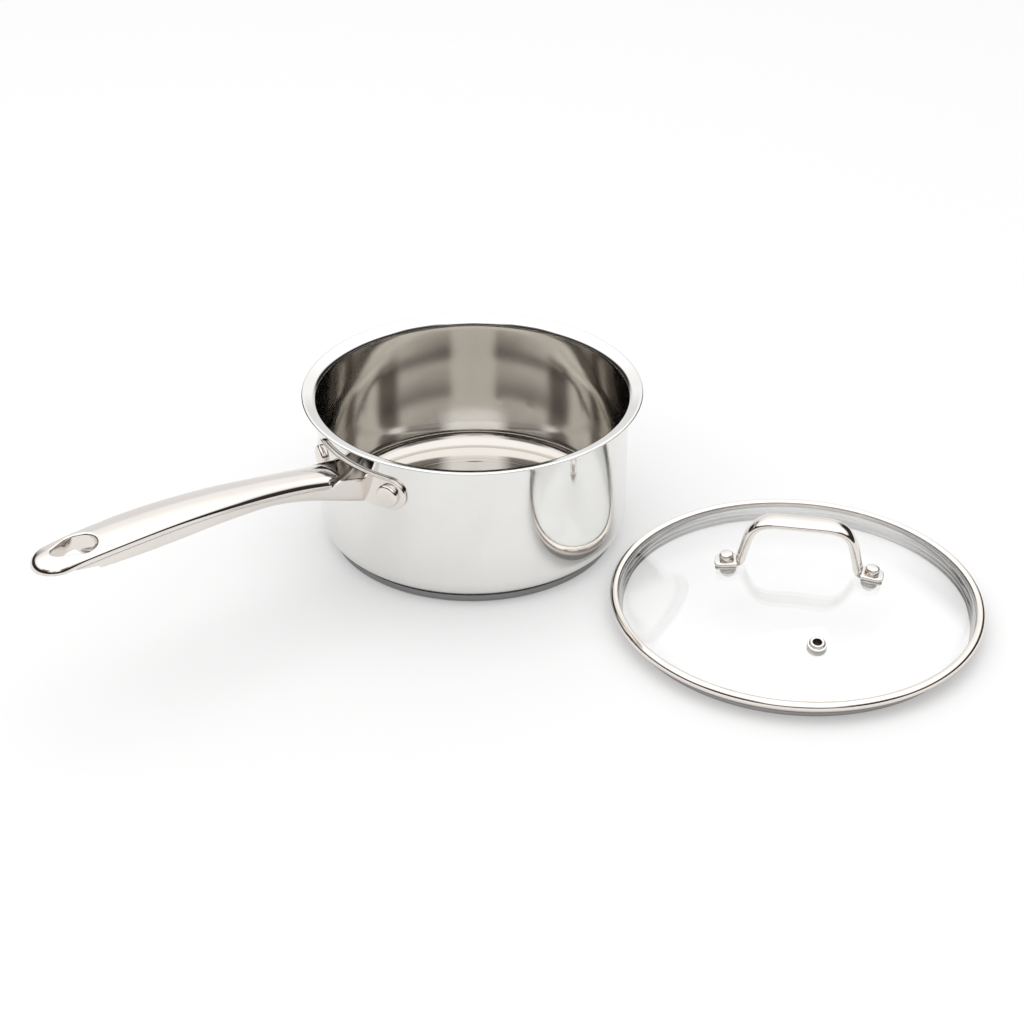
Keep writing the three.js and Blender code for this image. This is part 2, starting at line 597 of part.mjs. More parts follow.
// ---- Assembly ----------------------------------------------------------------------------------
const pan = new THREE.Group();
pan.add(
  node('pan_body', panBody(), polishedSteel()),
  node('base_core_disc', baseCore(), aluminium()),
  node('base_cap', baseCap(), satinSteel()),
  node('handle_bracket', handleBracket(), polishedSteel()),
  node('handle_top_shell', handleTopShell(), polishedSteel()),
  node('handle_bottom_shell', handleBottomShell(), polishedSteel()),
  node('handle_rivet_left', rivet(1), polishedSteel()),
  node('handle_rivet_right', rivet(-1), polishedSteel()),
);

const lid = new THREE.Group();
lid.position.set(LID_DISTANCE * Math.cos(LID_BEARING), LID_DISTANCE * Math.sin(LID_BEARING), 0);
lid.rotation.z = LID_HANDLE_TURN;
lid.add(
  node('lid_glass', lidGlass(), glass()),
  node('lid_band', lidBand(), polishedSteel()),
  node('lid_band_seal', lidSeal(), silicone()),
  node('lid_handle', lidHandle(), polishedSteel()),
  node('vent_eyelet', ventEyelet(), polishedSteel()),
  node('vent_washer', ventWasher(), silicone()),
);
for (const [end, side] of [['a', 1], ['b', -1]]) {
  lid.add(
    node(`lid_foot_pad_${end}`, footPad(side), satinSteel()),
    node(`lid_silicone_washer_${end}`, siliconeWasher(side), silicone()),
    node(`lid_steel_washer_${end}`, steelWasher(side), satinSteel()),
    node(`lid_screw_${end}`, lidScrew(side), polishedSteel()),
    node(`lid_cap_nut_${end}`, capNut(side), polishedSteel()),
  );
}

const saucepan = new THREE.Group();
saucepan.add(pan, lid);
export default saucepan;
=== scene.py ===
"""Steel saucepan with a riveted hollow handle and a domed glass lid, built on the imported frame."""

import math

import bmesh
import bpy
from mathutils import Matrix, Vector


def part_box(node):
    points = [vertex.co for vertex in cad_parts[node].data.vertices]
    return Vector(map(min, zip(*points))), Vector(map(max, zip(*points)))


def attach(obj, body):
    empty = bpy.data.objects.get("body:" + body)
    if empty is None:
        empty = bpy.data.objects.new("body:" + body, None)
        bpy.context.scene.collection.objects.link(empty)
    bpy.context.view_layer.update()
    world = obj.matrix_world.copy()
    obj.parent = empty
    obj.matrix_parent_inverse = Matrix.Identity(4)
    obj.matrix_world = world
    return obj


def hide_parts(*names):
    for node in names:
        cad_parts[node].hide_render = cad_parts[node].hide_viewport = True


bl_info = {
    "name": "Saucepan with glass lid",
    "version": (1, 0, 0),
    "blender": (4, 5, 0),
    "location": "View3D > Sidebar > Saucepan",
    "description": "Builds a riveted steel saucepan and its glass lid on the packed frame",
    "category": "Object",
}

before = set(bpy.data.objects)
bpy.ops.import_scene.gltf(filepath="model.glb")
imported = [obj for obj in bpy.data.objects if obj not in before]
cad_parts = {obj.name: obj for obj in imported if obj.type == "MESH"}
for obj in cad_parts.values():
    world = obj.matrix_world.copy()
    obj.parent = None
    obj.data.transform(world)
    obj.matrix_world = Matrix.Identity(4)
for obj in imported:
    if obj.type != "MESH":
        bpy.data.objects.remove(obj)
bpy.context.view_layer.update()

# Profiles are written in millimetres and made into metres when a mesh is built.
MM = 0.001

# Middle of the lid on the surface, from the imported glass.
GLASS_LOW, GLASS_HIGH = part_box("lid_glass")
LID_CENTRE = ((GLASS_LOW.x + GLASS_HIGH.x) / 2, (GLASS_LOW.y + GLASS_HIGH.y) / 2, 0.0)

# Height of the handle's crease: a curve of [distance from the pan's axis, height].
CREASE = ((80, 66.4), (140, 81.5), (185, 90), (262, 87.3))

# [distance from the pan's axis, half width, depth of the sides below the crease]
HANDLE_FORM = (
    (78, 13.2, 14.4), (90, 11.7, 13.3), (103, 10.2, 11.6), (116, 9.6, 9.8), (135, 10, 8.2),
    (158, 11.2, 8.8), (190, 12.1, 10.2), (216, 12.4, 9.8), (248, 11.6, 7.4),
)

TAU = 2 * math.pi

# Millimetres, unless said otherwise
GAP = 0.3                        # clearance left between pieces that touch
PAN_CENTRE = (0.0, 0.0, 0.0)
LEVEL = (1.0, 1.0, 0.0)          # keeps the level part of a direction
RIM_TOP = 10.3                   # top of the glass's flat rim
BAND_TOP, BAND_MIDDLE, BAND_BOTTOM = 11.1, 8.8, 6.5
DOME_END_ABOVE, DOME_END_BELOW = 84.0, 82.5      # where the glass's dome meets its rim
SKIRT_WAVE, SKIRT_WAVES, SKIRT_STEPS = 0.13, 3, 36       # depth of a wave, waves, points of the outline
SKIRT_OUTSIDE = 0.0888           # metres from the lid's axis, past which the band is polished; inside it the band takes darker steel as painted shade
BAR_TOP = 54.8                   # top of the lid handle's bar
SIDE_LEAN = 0.06                 # how much the handle's sides lean in with depth
STATION_STEP = 2.4               # distance between the handle's sections


# ---- Sizes and colours a user would change -----------------------------------------------------
def length(name, description, default):
    """A size in metres."""
    return bpy.props.FloatProperty(
        name=name, description=description, default=default, unit="LENGTH", precision=5)


def tint(name, description, default):
    """A colour."""
    return bpy.props.FloatVectorProperty(
        name=name, description=description, default=default, size=3, subtype="COLOR",
        min=0.0, max=1.0)


class SaucepanPanSizes(bpy.types.PropertyGroup):
    """Sizes of the pan and its layered base."""
    inner_radius: length("Inner radius", "Radius of the pan's inside wall", 0.080)
    sheet: length("Sheet", "Thickness of the pan's sheet", 0.0008)
    corner_radius: length("Corner radius", "Bend between wall and floor, middle of the sheet", 0.0096)
    floor_underside: length("Floor underside", "Height of the sheet's underside", 0.0043)
    flare_start: length("Flare start", "Height where the wall turns into the lip", 0.0782)
    flare_radius: length("Flare radius", "Bend between the wall and the lip", 0.00345)
    lip_radius: length("Lip radius", "Radius of the pouring lip's edge", 0.088)
    lip_rise: bpy.props.FloatProperty(
        name="Lip rise", description="Slope of the lip", default=math.radians(16), unit="ROTATION")
    base_radius: length("Base radius", "Radius of the base cap", 0.0754)
    cap_sheet: length("Cap sheet", "Thickness of the base cap", 0.0006)
    cap_top: length("Cap top", "Height of the base cap's edge", 0.0046)
    cap_edge_radius: length("Cap edge radius", "Bend round the base cap", 0.0022)


class SaucepanHandleSizes(bpy.types.PropertyGroup):
    """Sizes of the long handle, its bracket and rivets."""
    sheet: length("Sheet", "Thickness of the handle's two shells", 0.0012)
    crown: length("Crown", "Rise of the top face above the crease", 0.0022)
    crease_round: length("Crease rounding", "Radius of the bend between top and sides at the neck", 0.0036)
    side_round: length("Side rounding", "Radius of the same bend beside the hang hole", 0.0015)
    nose_round: length("Nose rounding", "Radius of the same bend round the nose", 0.0029)
    flange: length("Folded edge", "Depth of the upper shell's folded edge", 0.003)
    hole_roll: length("Hole roll", "Radius of the bend into the hang hole", 0.0012)
    hole_radius: length("Hole radius", "Radius of the hang hole's wide end", 0.0081)
    bracket_sheet: length("Bracket sheet", "Thickness of the bracket", 0.0018)
    bracket_height: length("Bracket height", "Height of the bracket", 0.017)
    bracket_middle: length("Bracket middle", "Height of the rivets' centres", 0.062)
    ear_angle: bpy.props.FloatProperty(
        name="Ear angle", description="Turn from the handle to a rivet", default=math.radians(18.4),
        unit="ROTATION")
    rivet_head: length("Rivet head", "Radius of a rivet's outer head", 0.006)
    rivet_height: length("Rivet height", "Height of a rivet's outer head", 0.0029)


class SaucepanLidSizes(bpy.types.PropertyGroup):
    """Sizes of the glass lid and its fittings."""
    turn: bpy.props.FloatProperty(
        name="Turn", description="Direction of the lid's handle", default=math.radians(-52.9),
        unit="ROTATION")
    glass: length("Glass", "Thickness of the glass", 0.003)
    dome_radius: length("Dome radius", "Radius of the glass dome", 0.2385)
    dome_top: length("Dome top", "Height of the glass dome", 0.0269)
    glass_radius: length("Glass radius", "Radius of the glass disc", 0.0909)
    band_radius: length("Band radius", "Outer radius of the steel band", 0.0931)
    band_sheet: length("Band sheet", "Thickness of the steel band", 0.0005)
    bar_width: length("Bar width", "Width of the lid handle's bar", 0.0116)
    bar_thickness: length("Bar thickness", "Thickness of the lid handle's bar", 0.005)
    leg_width: length("Leg width", "Width of the lid handle's legs", 0.0088)
    leg_thickness: length("Leg thickness", "Thickness of the lid handle's legs", 0.0050)
    foot_width: length("Foot width", "Width of the lid handle's feet", 0.0104)
    screw_reach: length("Screw reach", "Distance of a screw from the lid's axis", 0.0352)
    vent_reach: length("Vent reach", "Distance of the vent from the lid's axis", 0.057)
    vent_turn: bpy.props.FloatProperty(
        name="Vent turn", description="Turn from the lid's handle to the vent",
        default=math.radians(-77.1), unit="ROTATION")


class SaucepanFinishes(bpy.types.PropertyGroup):
    """Colours and polish of the finishes."""
    wall: tint("Wall steel", "Colour of the pan's polished outside", (0.805, 0.80, 0.78))
    steel: tint("Handle steel", "Colour of the polished handle and fittings", (0.79, 0.745, 0.705))
    band: tint("Band steel", "Colour of the lid's band", (0.84, 0.785, 0.735))
    inside: tint("Spun steel", "Colour of the brushed inside", (0.625, 0.598, 0.558))
    # The satin base's colour is kept dark as painted shade: it stands for the contact shadow that the cap
    # reflects.
    satin: tint("Satin steel", "Colour of the satin base", (0.27, 0.27, 0.268))
    fittings: tint(
        "Satin fittings", "Colour of the pads, the steel washers and the handle's trough", (0.62, 0.60, 0.58))
    aluminium: tint("Aluminium", "Colour of the base's core", (0.78, 0.79, 0.80))
    silicone: tint("Silicone", "Colour of the seal and washers", (0.62, 0.62, 0.60))
    floor: tint("Floor", "Colour of the floor", (0.50, 0.50, 0.50))
    polish: bpy.props.FloatProperty(
        name="Polish", description="Roughness of the polished steel", default=0.07, min=0.0, max=1.0)


def sizes():
    """The four groups of settings."""
    scene = bpy.context.scene
    return scene.saucepan_pan, scene.saucepan_handle, scene.saucepan_lid, scene.saucepan_finishes


# ---- Node helpers ------------------------------------------------------------------------------
def put(tree, kind, settings=None, inputs=None):
    """Adds a node, sets it up and fills or links its inputs."""
    node = tree.nodes.new(kind)
    for key, value in (settings or {}).items():
        setattr(node, key, value)
    for key, value in (inputs or {}).items():
        socket = node.inputs[key]
        if isinstance(value, bpy.types.NodeSocket):
            tree.links.new(value, socket)
        else:
            socket.default_value = value
    return node


def maths(tree, operation, *values):
    """A Math node's result."""
    return put(tree, "ShaderNodeMath", {"operation": operation}, dict(enumerate(values))).outputs[0]


def vector(tree, operation, first, second=None, output=0):
    """A Vector Math node's result."""
    inputs = {0: first} if second is None else {0: first, 1: second}
    return put(tree, "ShaderNodeVectorMath", {"operation": operation}, inputs).outputs[output]


def new_tree(name, kind, inputs, output, build):
    """A node group with named sockets, made once; `build` returns the socket that it puts out."""
    if name in bpy.data.node_groups:
        return bpy.data.node_groups[name]
    tree = bpy.data.node_groups.new(name, kind)
    for label, socket_type, value in inputs:
        socket = tree.interface.new_socket(label, in_out="INPUT", socket_type=socket_type)
        if value is not None:
            socket.default_value = value
    tree.interface.new_socket(output[0], in_out="OUTPUT", socket_type=output[1])
    given, result = tree.nodes.new("NodeGroupInput"), tree.nodes.new("NodeGroupOutput")
    tree.links.new(build(tree, given.outputs), result.inputs[0])
    return tree


def as_rotation(tree, x, y, z):
    """A rotation from three angles."""
    angles = put(tree, "ShaderNodeCombineXYZ", {}, {"X": x, "Y": y, "Z": z})
    return put(tree, "FunctionNodeEulerToRotation", {}, {0: angles.outputs[0]}).outputs[0]


PLACE_SOCKETS = [
    ("Count", "NodeSocketInt", 1),
    ("Tilt", "NodeSocketFloat", 0.0),
    ("Reach", "NodeSocketFloat", 0.0),
    ("Height", "NodeSocketFloat", 0.0),
    ("First Turn", "NodeSocketFloat", 0.0),
    ("Turn Between", "NodeSocketFloat", 0.0),
]


def shape_tree(name, inputs, build):
    """A geometry tree whose copies stand round the Z axis."""
    shape = "NodeSocketGeometry"
    inputs = [("Geometry", shape, None)] + inputs
    return new_tree(name, "GeometryNodeTree", inputs, ("Geometry", shape), build)


def ring_tree():
    """Sets copies of a piece round the Z axis, leaning and at a distance from it."""
    def build(tree, given):
        at = put(tree, "ShaderNodeCombineXYZ", {}, {"X": given["Reach"], "Z": given["Height"]})
        leaning = put(tree, "GeometryNodeTransform", {}, {
            "Geometry": given["Geometry"], "Translation": at.outputs[0],
            "Rotation": as_rotation(tree, 0.0, given["Tilt"], 0.0)})
        points = put(tree, "GeometryNodeMeshLine", {}, {"Count": given["Count"], "Offset": (0.0, 0.0, 0.0)})
        index = put(tree, "GeometryNodeInputIndex").outputs[0]
        turn = maths(tree, "MULTIPLY_ADD", index, given["Turn Between"], given["First Turn"])
        return put(tree, "GeometryNodeInstanceOnPoints", {}, {
            "Points": points.outputs[0], "Instance": leaning.outputs[0],
            "Rotation": as_rotation(tree, 0.0, 0.0, turn)}).outputs[0]
    return shape_tree("Set round an axis", PLACE_SOCKETS, build)


def placed(tree, given, geometry):
    """Ends a tree: copies round the axis, made real, with their material."""
    ring = put(tree, "GeometryNodeGroup", {"node_tree": ring_tree()}, {"Geometry": geometry})
    for label, _, _ in PLACE_SOCKETS:
        tree.links.new(given[label], ring.inputs[label])
    real = put(tree, "GeometryNodeRealizeInstances", {}, {0: ring.outputs[0]})
    return put(tree, "GeometryNodeSetMaterial", {}, {
        "Geometry": real.outputs[0], "Material": given["Material"]}).outputs[0]


MATERIAL_SOCKET = [("Material", "NodeSocketMaterial", None)]


def spun_tree():
    """Spins an outline of [radius, height] round the Z axis and sets copies round that axis."""
    def build(tree, given):
        shifted = put(tree, "GeometryNodeTransform", {}, {
            "Geometry": given["Geometry"], "Translation": (-1.0, 0.0, 0.0), "Scale": (1.0, -1.0, 1.0)})
        outline = put(tree, "GeometryNodeMeshToCurve", {}, {0: shifted.outputs[0]})
        rail = put(tree, "GeometryNodeCurvePrimitiveCircle", {}, {
            "Resolution": given["Steps"], "Radius": 1.0})
        skin = put(tree, "GeometryNodeCurveToMesh", {}, {
            "Curve": rail.outputs[0], "Profile Curve": outline.outputs[0]})
        merged = put(tree, "GeometryNodeMergeByDistance", {}, {
            "Geometry": skin.outputs[0], "Distance": 0.000002})
        return placed(tree, given, merged.outputs[0])
    return shape_tree("Spun piece", [("Steps", "NodeSocketInt", 96)] + PLACE_SOCKETS + MATERIAL_SOCKET, build)


def copies_tree():
    """Sets copies of a finished mesh round the Z axis."""
    return shape_tree("Placed copies", PLACE_SOCKETS + MATERIAL_SOCKET,
                      lambda tree, given: placed(tree, given, given["Geometry"]))


# ---- Mesh helpers ------------------------------------------------------------------------------
def add_object(name, points, edges, faces):
    """A new object from points in millimetres."""
    mesh = bpy.data.meshes.new(name)
    mesh.from_pydata([[c * MM for c in point] for point in points], edges, faces)
    obj = bpy.data.objects.new(name, mesh)
    bpy.context.scene.collection.objects.link(obj)
    return obj


def bake(obj):
    """Turns the modifiers' result into the object's plain mesh."""
    graph = bpy.context.evaluated_depsgraph_get()
    made = bpy.data.meshes.new_from_object(obj.evaluated_get(graph))
    old = obj.data
    obj.modifiers.clear()
    obj.data = made
    bpy.data.meshes.remove(old)
    made.name = obj.name


def tidy_normals(obj, merge=0.000004):
    """Merges doubles and points every face outwards."""
    work = bmesh.new()
    work.from_mesh(obj.data)
    bmesh.ops.remove_doubles(work, verts=work.verts, dist=merge)
    bmesh.ops.dissolve_degenerate(work, edges=work.edges, dist=0.000001)
    bmesh.ops.recalc_face_normals(work, faces=work.faces)
    work.to_mesh(obj.data)
    work.free()


def shade(obj, angle=35):
    """Smooth shading that keeps folds sharper than an angle in degrees."""
    obj.data.shade_smooth()
    obj.data.set_sharp_from_angle(angle=math.radians(angle))


def hand_over(obj, body, slot, *nodes):
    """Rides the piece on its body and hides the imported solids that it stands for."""
    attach(obj, body)
    if nodes:
        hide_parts(*nodes)


def run_tree(obj, tree, values):
    """Runs a geometry tree on the object with named input values."""
    modifier = obj.modifiers.new(tree.name, "NODES")
    modifier.node_group = tree
    for item in tree.interface.items_tree:
        if item.item_type == "SOCKET" and item.in_out == "INPUT" and item.name in values:
            modifier[item.identifier] = values[item.name]
    bake(obj)


def spun(name, outline, material, closed=False, steps=96, angle=35, place=None, **where):
    """A piece spun from an outline in millimetres; `where` gives the copies' places."""
    count = len(outline)
    edges = [(i, i + 1) for i in range(count - 1)]
    if closed:
        edges.append((count - 1, 0))
    obj = add_object(name, [(r, z, 0.0) for r, z in outline], edges, [])
    values = {"Steps": steps, "Material": material}
    values.update(where)
    run_tree(obj, spun_tree(), values)
    if place is not None:
        obj.data.transform(place)
    tidy_normals(obj)
    shade(obj, angle)
    return obj


def arc(centre, radius, start, end, steps):
    """Points of an arc between two angles in degrees."""
    turns = [math.radians(start + (end - start) * i / steps) for i in range(steps + 1)]
    return [(centre[0] + radius * math.cos(t), centre[1] + radius * math.sin(t)) for t in turns]


def bend(first, control, last, steps):
    """Points of a quadratic curve."""
    points = []
    for i in range(steps + 1):
        t = i / steps
        weights = ((1 - t) ** 2, 2 * t * (1 - t), t * t)
        points.append(tuple(sum(w * p[k] for w, p in zip(weights, (first, control, last))) for k in (0, 1)))
    return points


def resample(line, count):
    """The same line with evenly spaced points, both ends kept."""
    lengths = [0.0]
    for a, b in zip(line, line[1:]):
        lengths.append(lengths[-1] + math.dist(a, b))
    points = []
    k = 0
    for i in range(count):
        target = lengths[-1] * i / (count - 1)
        while k < len(line) - 2 and lengths[k + 1] < target:
            k += 1
        t = (target - lengths[k]) / max(lengths[k + 1] - lengths[k], 1e-9)
        points.append(tuple(a + (b - a) * t for a, b in zip(line[k], line[k + 1])))
    return points


def joined(*runs):
    """Runs of points one after another, without repeated ones."""
    line = []
    for run in runs:
        for point in run:
            if not line or math.dist(line[-1], point) > 1e-4:
                line.append(point)
    return line


def sheet_outline(line, thickness, round_start=True, round_end=True):
    """Both faces of a sheet that follows a line, with softly rounded ends."""
    half = thickness / 2
    sides = {1: [], -1: []}
    frames = []
    for i, point in enumerate(line):
        before, after = line[max(i - 1, 0)], line[min(i + 1, len(line) - 1)]
        run = math.dist(before, after)
        along = ((after[0] - before[0]) / run, (after[1] - before[1]) / run)
        frames.append(along)
        for sign in (1, -1):
            sides[sign].append((point[0] + sign * along[1] * half, point[1] - sign * along[0] * half))
    steps = 6
    end, start = [], []
    for i in range(1, steps):
        turn = math.pi * i / steps
        c, s = math.cos(turn) * half, math.sin(turn) * half
        along = frames[-1]
        if round_end:
            end.append((line[-1][0] + along[1] * c + along[0] * s, line[-1][1] - along[0] * c + along[1] * s))
        along = frames[0]
        if round_start:
            start.append((line[0][0] - along[1] * c - along[0] * s, line[0][1] + along[0] * c - along[1] * s))
    return sides[1] + end + sides[-1][::-1] + start


def smooth_step(value, low, high):
    """Eases from 0 at low to 1 at high."""
    t = min(max((value - low) / (high - low), 0.0), 1.0)
    return t * t * (3 - 2 * t)


def add_patch(points, faces, grid, mirror=True):
    """Adds a grid of points as faces, and its mirror image across the handle."""
    for sign in ((1, -1) if mirror else (1,)):
        start = len(points)
        rows, columns = len(grid), len(grid[0])
        for row in grid:
            points.extend((x, sign * y, z) for x, y, z in row)
        for i in range(rows - 1):
            for j in range(columns - 1):
                a = start + i * columns + j
                corners = (a, a + 1, a + columns + 1, a + columns)
                faces.append(corners if sign > 0 else corners[::-1])


def sheet_piece(name, points, faces, material, thickness, up_point, bevel=0.12):
    """A pressed sheet from its outer surface, thickened inwards with softened edges."""
    obj = add_object(name, points, [], faces)
    tidy_normals(obj)
    mesh = obj.data
    nearest = min(mesh.polygons, key=lambda face: (face.center - Vector(up_point[0]) * MM).length)
    if nearest.normal.dot(Vector(up_point[1])) < 0:
        mesh.flip_normals()
    mesh.materials.append(material)
    wall = obj.modifiers.new("Sheet", "SOLIDIFY")
    wall.thickness = thickness * MM
    wall.offset = -1.0
    wall.use_even_offset = True
    wall.use_quality_normals = True
    edge = obj.modifiers.new("Soft edges", "BEVEL")
    edge.width = bevel * MM
    edge.segments = 2
    edge.limit_method = "ANGLE"
    edge.angle_limit = math.radians(50)
    bake(obj)
    shade(obj, 40)
    return obj


def lofted(name, loops):
    """A closed piece through loops of points in millimetres."""
    count = len(loops[0])
    faces = [tuple(range(count)), tuple(range((len(loops) - 1) * count, len(loops) * count))]
    for i in range(len(loops) - 1):
        for j in range(count):
            a, b = i * count + j, i * count + (j + 1) % count
            faces.append((a, b, b + count, a + count))
    return add_object(name, [point for loop in loops for point in loop], [], faces)


def lid_place(lid):
    """Puts a piece made round the lid's own axis at the lid's place."""
    return Matrix.Translation(LID_CENTRE) @ Matrix.Rotation(lid.turn, 4, "Z")


def dome_z(lid, reach, below=0.0):
    """Height in millimetres of the glass's upper face, or of a surface below it."""
    radius = lid.dome_radius / MM
    return lid.dome_top / MM - radius + math.sqrt((radius - below) ** 2 - reach ** 2)


def on_dome(lid, reach, turn=0.0, count=1):
    """Where a fitting stands on the glass, leaning with the dome."""
    return {"Count": count, "Tilt": math.asin(reach / lid.dome_radius), "Reach": reach,
            "Height": dome_z(lid, reach / MM) * MM, "First Turn": turn}


# ---- Shared surface effects --------------------------------------------------------------------
def surface_group(name, inputs, output, build):
    """A shader group that puts out one value."""
    values = [(label, "NodeSocketFloat", value) for label, value in inputs]
    inputs = [("Vector", "NodeSocketVector", None)] + values
    return new_tree(name, "ShaderNodeTree", inputs, (output, "NodeSocketFloat"), build)


def noise(tree, where, size, detail, **more):
    """A noise texture's value."""
    inputs = {"Vector": where, "Scale": size, "Detail": detail}
    inputs.update(more)
    return put(tree, "ShaderNodeTexNoise", {}, inputs).outputs["Fac"]


def ramp(tree, value, low, high, start=0.0, end=1.0):
    """Value going from start to end between two limits."""
    return put(tree, "ShaderNodeMapRange", {}, {
        "Value": value, "From Min": low, "From Max": high, "To Min": start, "To Max": end}).outputs[0]


def height_of(tree, where):
    """The Z part of a vector."""
    return put(tree, "ShaderNodeSeparateXYZ", {}, {0: where}).outputs["Z"]


def spun_lines_group():
    """Fine rings left by spinning or turning round the Z axis."""
    def build(tree, given):
        flat = vector(tree, "MULTIPLY", given["Vector"], LEVEL)
        radius = vector(tree, "LENGTH", flat, output="Value")
        around = put(tree, "ShaderNodeVectorMath", {"operation": "SCALE"}, {
            0: vector(tree, "NORMALIZE", flat), "Scale": given["Length"]}).outputs[0]
        along = maths(tree, "ADD", radius, height_of(tree, given["Vector"]))
        along = maths(tree, "MULTIPLY", along, given["Lines"])
        across = put(tree, "ShaderNodeCombineXYZ", {}, {"Z": along}).outputs[0]
        return noise(tree, vector(tree, "ADD", around, across), 1.0, 4.0, Roughness=0.65)
    return surface_group("Spun lines", [("Lines", 2500.0), ("Length", 2.0)], "Height", build)


def marks_group():
    """Soft smudges from handling and wiping."""
    def build(tree, given):
        smudges = noise(tree, given["Vector"], given["Size"], 5.0, Roughness=0.62, Distortion=0.6)
        return ramp(tree, smudges, 0.42, 0.70)
    return surface_group("Handling marks", [("Size", 30.0)], "Mask", build)


def scratches_group():
    """Sparse hairline scratches in three directions."""
    def build(tree, given):
        total = None
        for turn, stretch in ((0.3, 34.0), (1.25, 52.0), (2.2, 41.0)):
            turned = put(tree, "ShaderNodeMapping", {}, {
                "Vector": given["Vector"], "Rotation": (0.4 * turn, 0.7 * turn, turn),
                "Scale": (1.0, stretch, stretch * 0.6)})
            line = ramp(tree, noise(tree, turned.outputs[0], given["Size"], 2.0), 0.69, 0.78)
            total = line if total is None else maths(tree, "MAXIMUM", total, line)
        return total
    return surface_group("Hairline scratches", [("Size", 25.0)], "Mask", build)


def waves_group():
    """The faint unevenness of pressed and polished sheet."""
    return surface_group("Pressed waves", [("Size", 22.0)], "Height",
                         lambda tree, given: noise(tree, given["Vector"], given["Size"], 1.5))


# ---- Materials ---------------------------------------------------------------------------------
def start_material(name, centre=PAN_CENTRE):
    """An empty node material with its shader and centred object coordinates."""
    material = bpy.data.materials.new(name)
    material.use_nodes = True
    tree = material.node_tree
    tree.nodes.clear()
    output = tree.nodes.new("ShaderNodeOutputMaterial")
    shader = tree.nodes.new("ShaderNodeBsdfPrincipled")
    tree.links.new(shader.outputs[0], output.inputs[0])
    coordinates = put(tree, "ShaderNodeTexCoord")
    centred = put(tree, "ShaderNodeMapping", {}, {
        "Vector": coordinates.outputs["Object"], "Location": tuple(-c for c in centre)})
    return material, tree, shader, centred.outputs[0]


def effect(tree, group, values):
    """Places a shared surface effect."""
    return put(tree, "ShaderNodeGroup", {"node_tree": group}, values).outputs[0]


def tinted(tree, shader, mask, colour, share):
    """Base colour that goes to a share of itself under a mask."""
    tone = put(tree, "ShaderNodeMix", {"data_type": "RGBA"}, {
        "Factor": mask, 6: tuple(colour) + (1.0,), 7: tuple(share * c for c in colour) + (1.0,)})
    tree.links.new(tone.outputs[2], shader.inputs["Base Color"])


def bumped(tree, shader, *layers):
    """Joins layers of [height, depth] into the shader's normal."""
    normal = None
    for height, depth in layers:
        inputs = {"Height": height, "Distance": depth, "Strength": 1.0}
        if normal is not None:
            inputs["Normal"] = normal
        normal = put(tree, "ShaderNodeBump", {}, inputs).outputs[0]
    tree.links.new(normal, shader.inputs["Normal"])


# Colour or its name among the finishes, roughness (None for the common polish), smudges, depth of the
# turned lines, lines per metre, their length round the axis, depth of the swell and centre of turning.
STEELS = {
    "polished_wall_steel": ("wall", None, 0.04, 0.000001, 1800.0, 2.0, 0.0, PAN_CENTRE),
    "spun_inside_steel": ("inside", 0.085, 0.04, 0.000003, 1400.0, 3.0, 0.000045, PAN_CENTRE),
    # A near-white copy of the spun inside steel: painted light on the pan's upward-facing floor.
    "spun_floor_steel": ((0.93, 0.925, 0.91), 0.08, 0.04, 0.000003, 1400.0, 3.0, 0.0, PAN_CENTRE),
    # The base cap's dark colour is painted shade from the contact shadow below it; the satin roughness and
    # rings are real.
    "satin_cap_steel": ("satin", 0.34, 0.08, 0.00001, 1700.0, 3.0, 0.0, PAN_CENTRE),
    "polished_handle_steel": ("steel", None, 0.05, 0.0, 0.0, 0.0, 0.0, PAN_CENTRE),
    "polished_fittings_steel": ("steel", None, 0.04, 0.000001, 2600.0, 2.0, 0.0, LID_CENTRE),
    "polished_band_steel": ("band", None, 0.04, 0.000001, 2600.0, 2.0, 0.0, LID_CENTRE),
    # The skirt's dark colour is painted shade under the lid's band; its brushed lines and roughness are real.
    "brushed_skirt_steel": ((0.44, 0.43, 0.42), 0.2, 0.06, 0.00002, 1500.0, 4.0, 0.0, LID_CENTRE),
    # Near-black painted shade for the vent's bore, where shade falls inside the tube.
    "dull_bore_steel": ((0.10, 0.075, 0.06), 0.4, 0.06, 0.0, 0.0, 0.0, 0.0, LID_CENTRE),
    "satin_fittings_steel": ("fittings", 0.3, 0.08, 0.0, 0.0, 0.0, 0.0, LID_CENTRE),
    "pressed_aluminium": ("aluminium", 0.42, 0.1, 0.00001, 900.0, 2.0, 0.0, PAN_CENTRE),
}
WAVE_DEPTH = 0.00003
SWELL_TURNS = 250.0              # radians of the swell per metre of height


def steel(name):
    """A metal from STEELS, with smudges, hairlines, turned lines and a faint unevenness."""
    if name in bpy.data.materials:
        return bpy.data.materials[name]
    finishes = sizes()[3]
    colour, roughness, smudge, lines, pitch, run, swell, centre = STEELS[name]
    colour = getattr(finishes, colour) if isinstance(colour, str) else colour
    material, tree, shader, where = start_material(name, centre)
    marks = effect(tree, marks_group(), {"Vector": where, "Size": 26.0})
    hairs = effect(tree, scratches_group(), {"Vector": where, "Size": 22.0})
    rough = maths(tree, "MULTIPLY_ADD", marks, smudge, finishes.polish if roughness is None else roughness)
    rough = maths(tree, "MULTIPLY_ADD", hairs, smudge * 1.5, rough)
    layers = [(effect(tree, waves_group(), {"Vector": where, "Size": 20.0}), WAVE_DEPTH)]
    if lines:
        rings = effect(tree, spun_lines_group(), {"Vector": where, "Lines": pitch, "Length": run})
        rough = maths(tree, "MULTIPLY_ADD", rings, lines * 400, rough)
        layers.append((rings, lines))
    if swell:
        turn = maths(tree, "MULTIPLY", height_of(tree, where), SWELL_TURNS)
        layers.append((maths(tree, "SINE", turn), swell))
    shader.inputs["Metallic"].default_value = 1.0
    tinted(tree, shader, maths(tree, "MULTIPLY", marks, 0.5), colour, 0.93)
    tree.links.new(rough, shader.inputs["Roughness"])
    bumped(tree, shader, *layers)
    return material


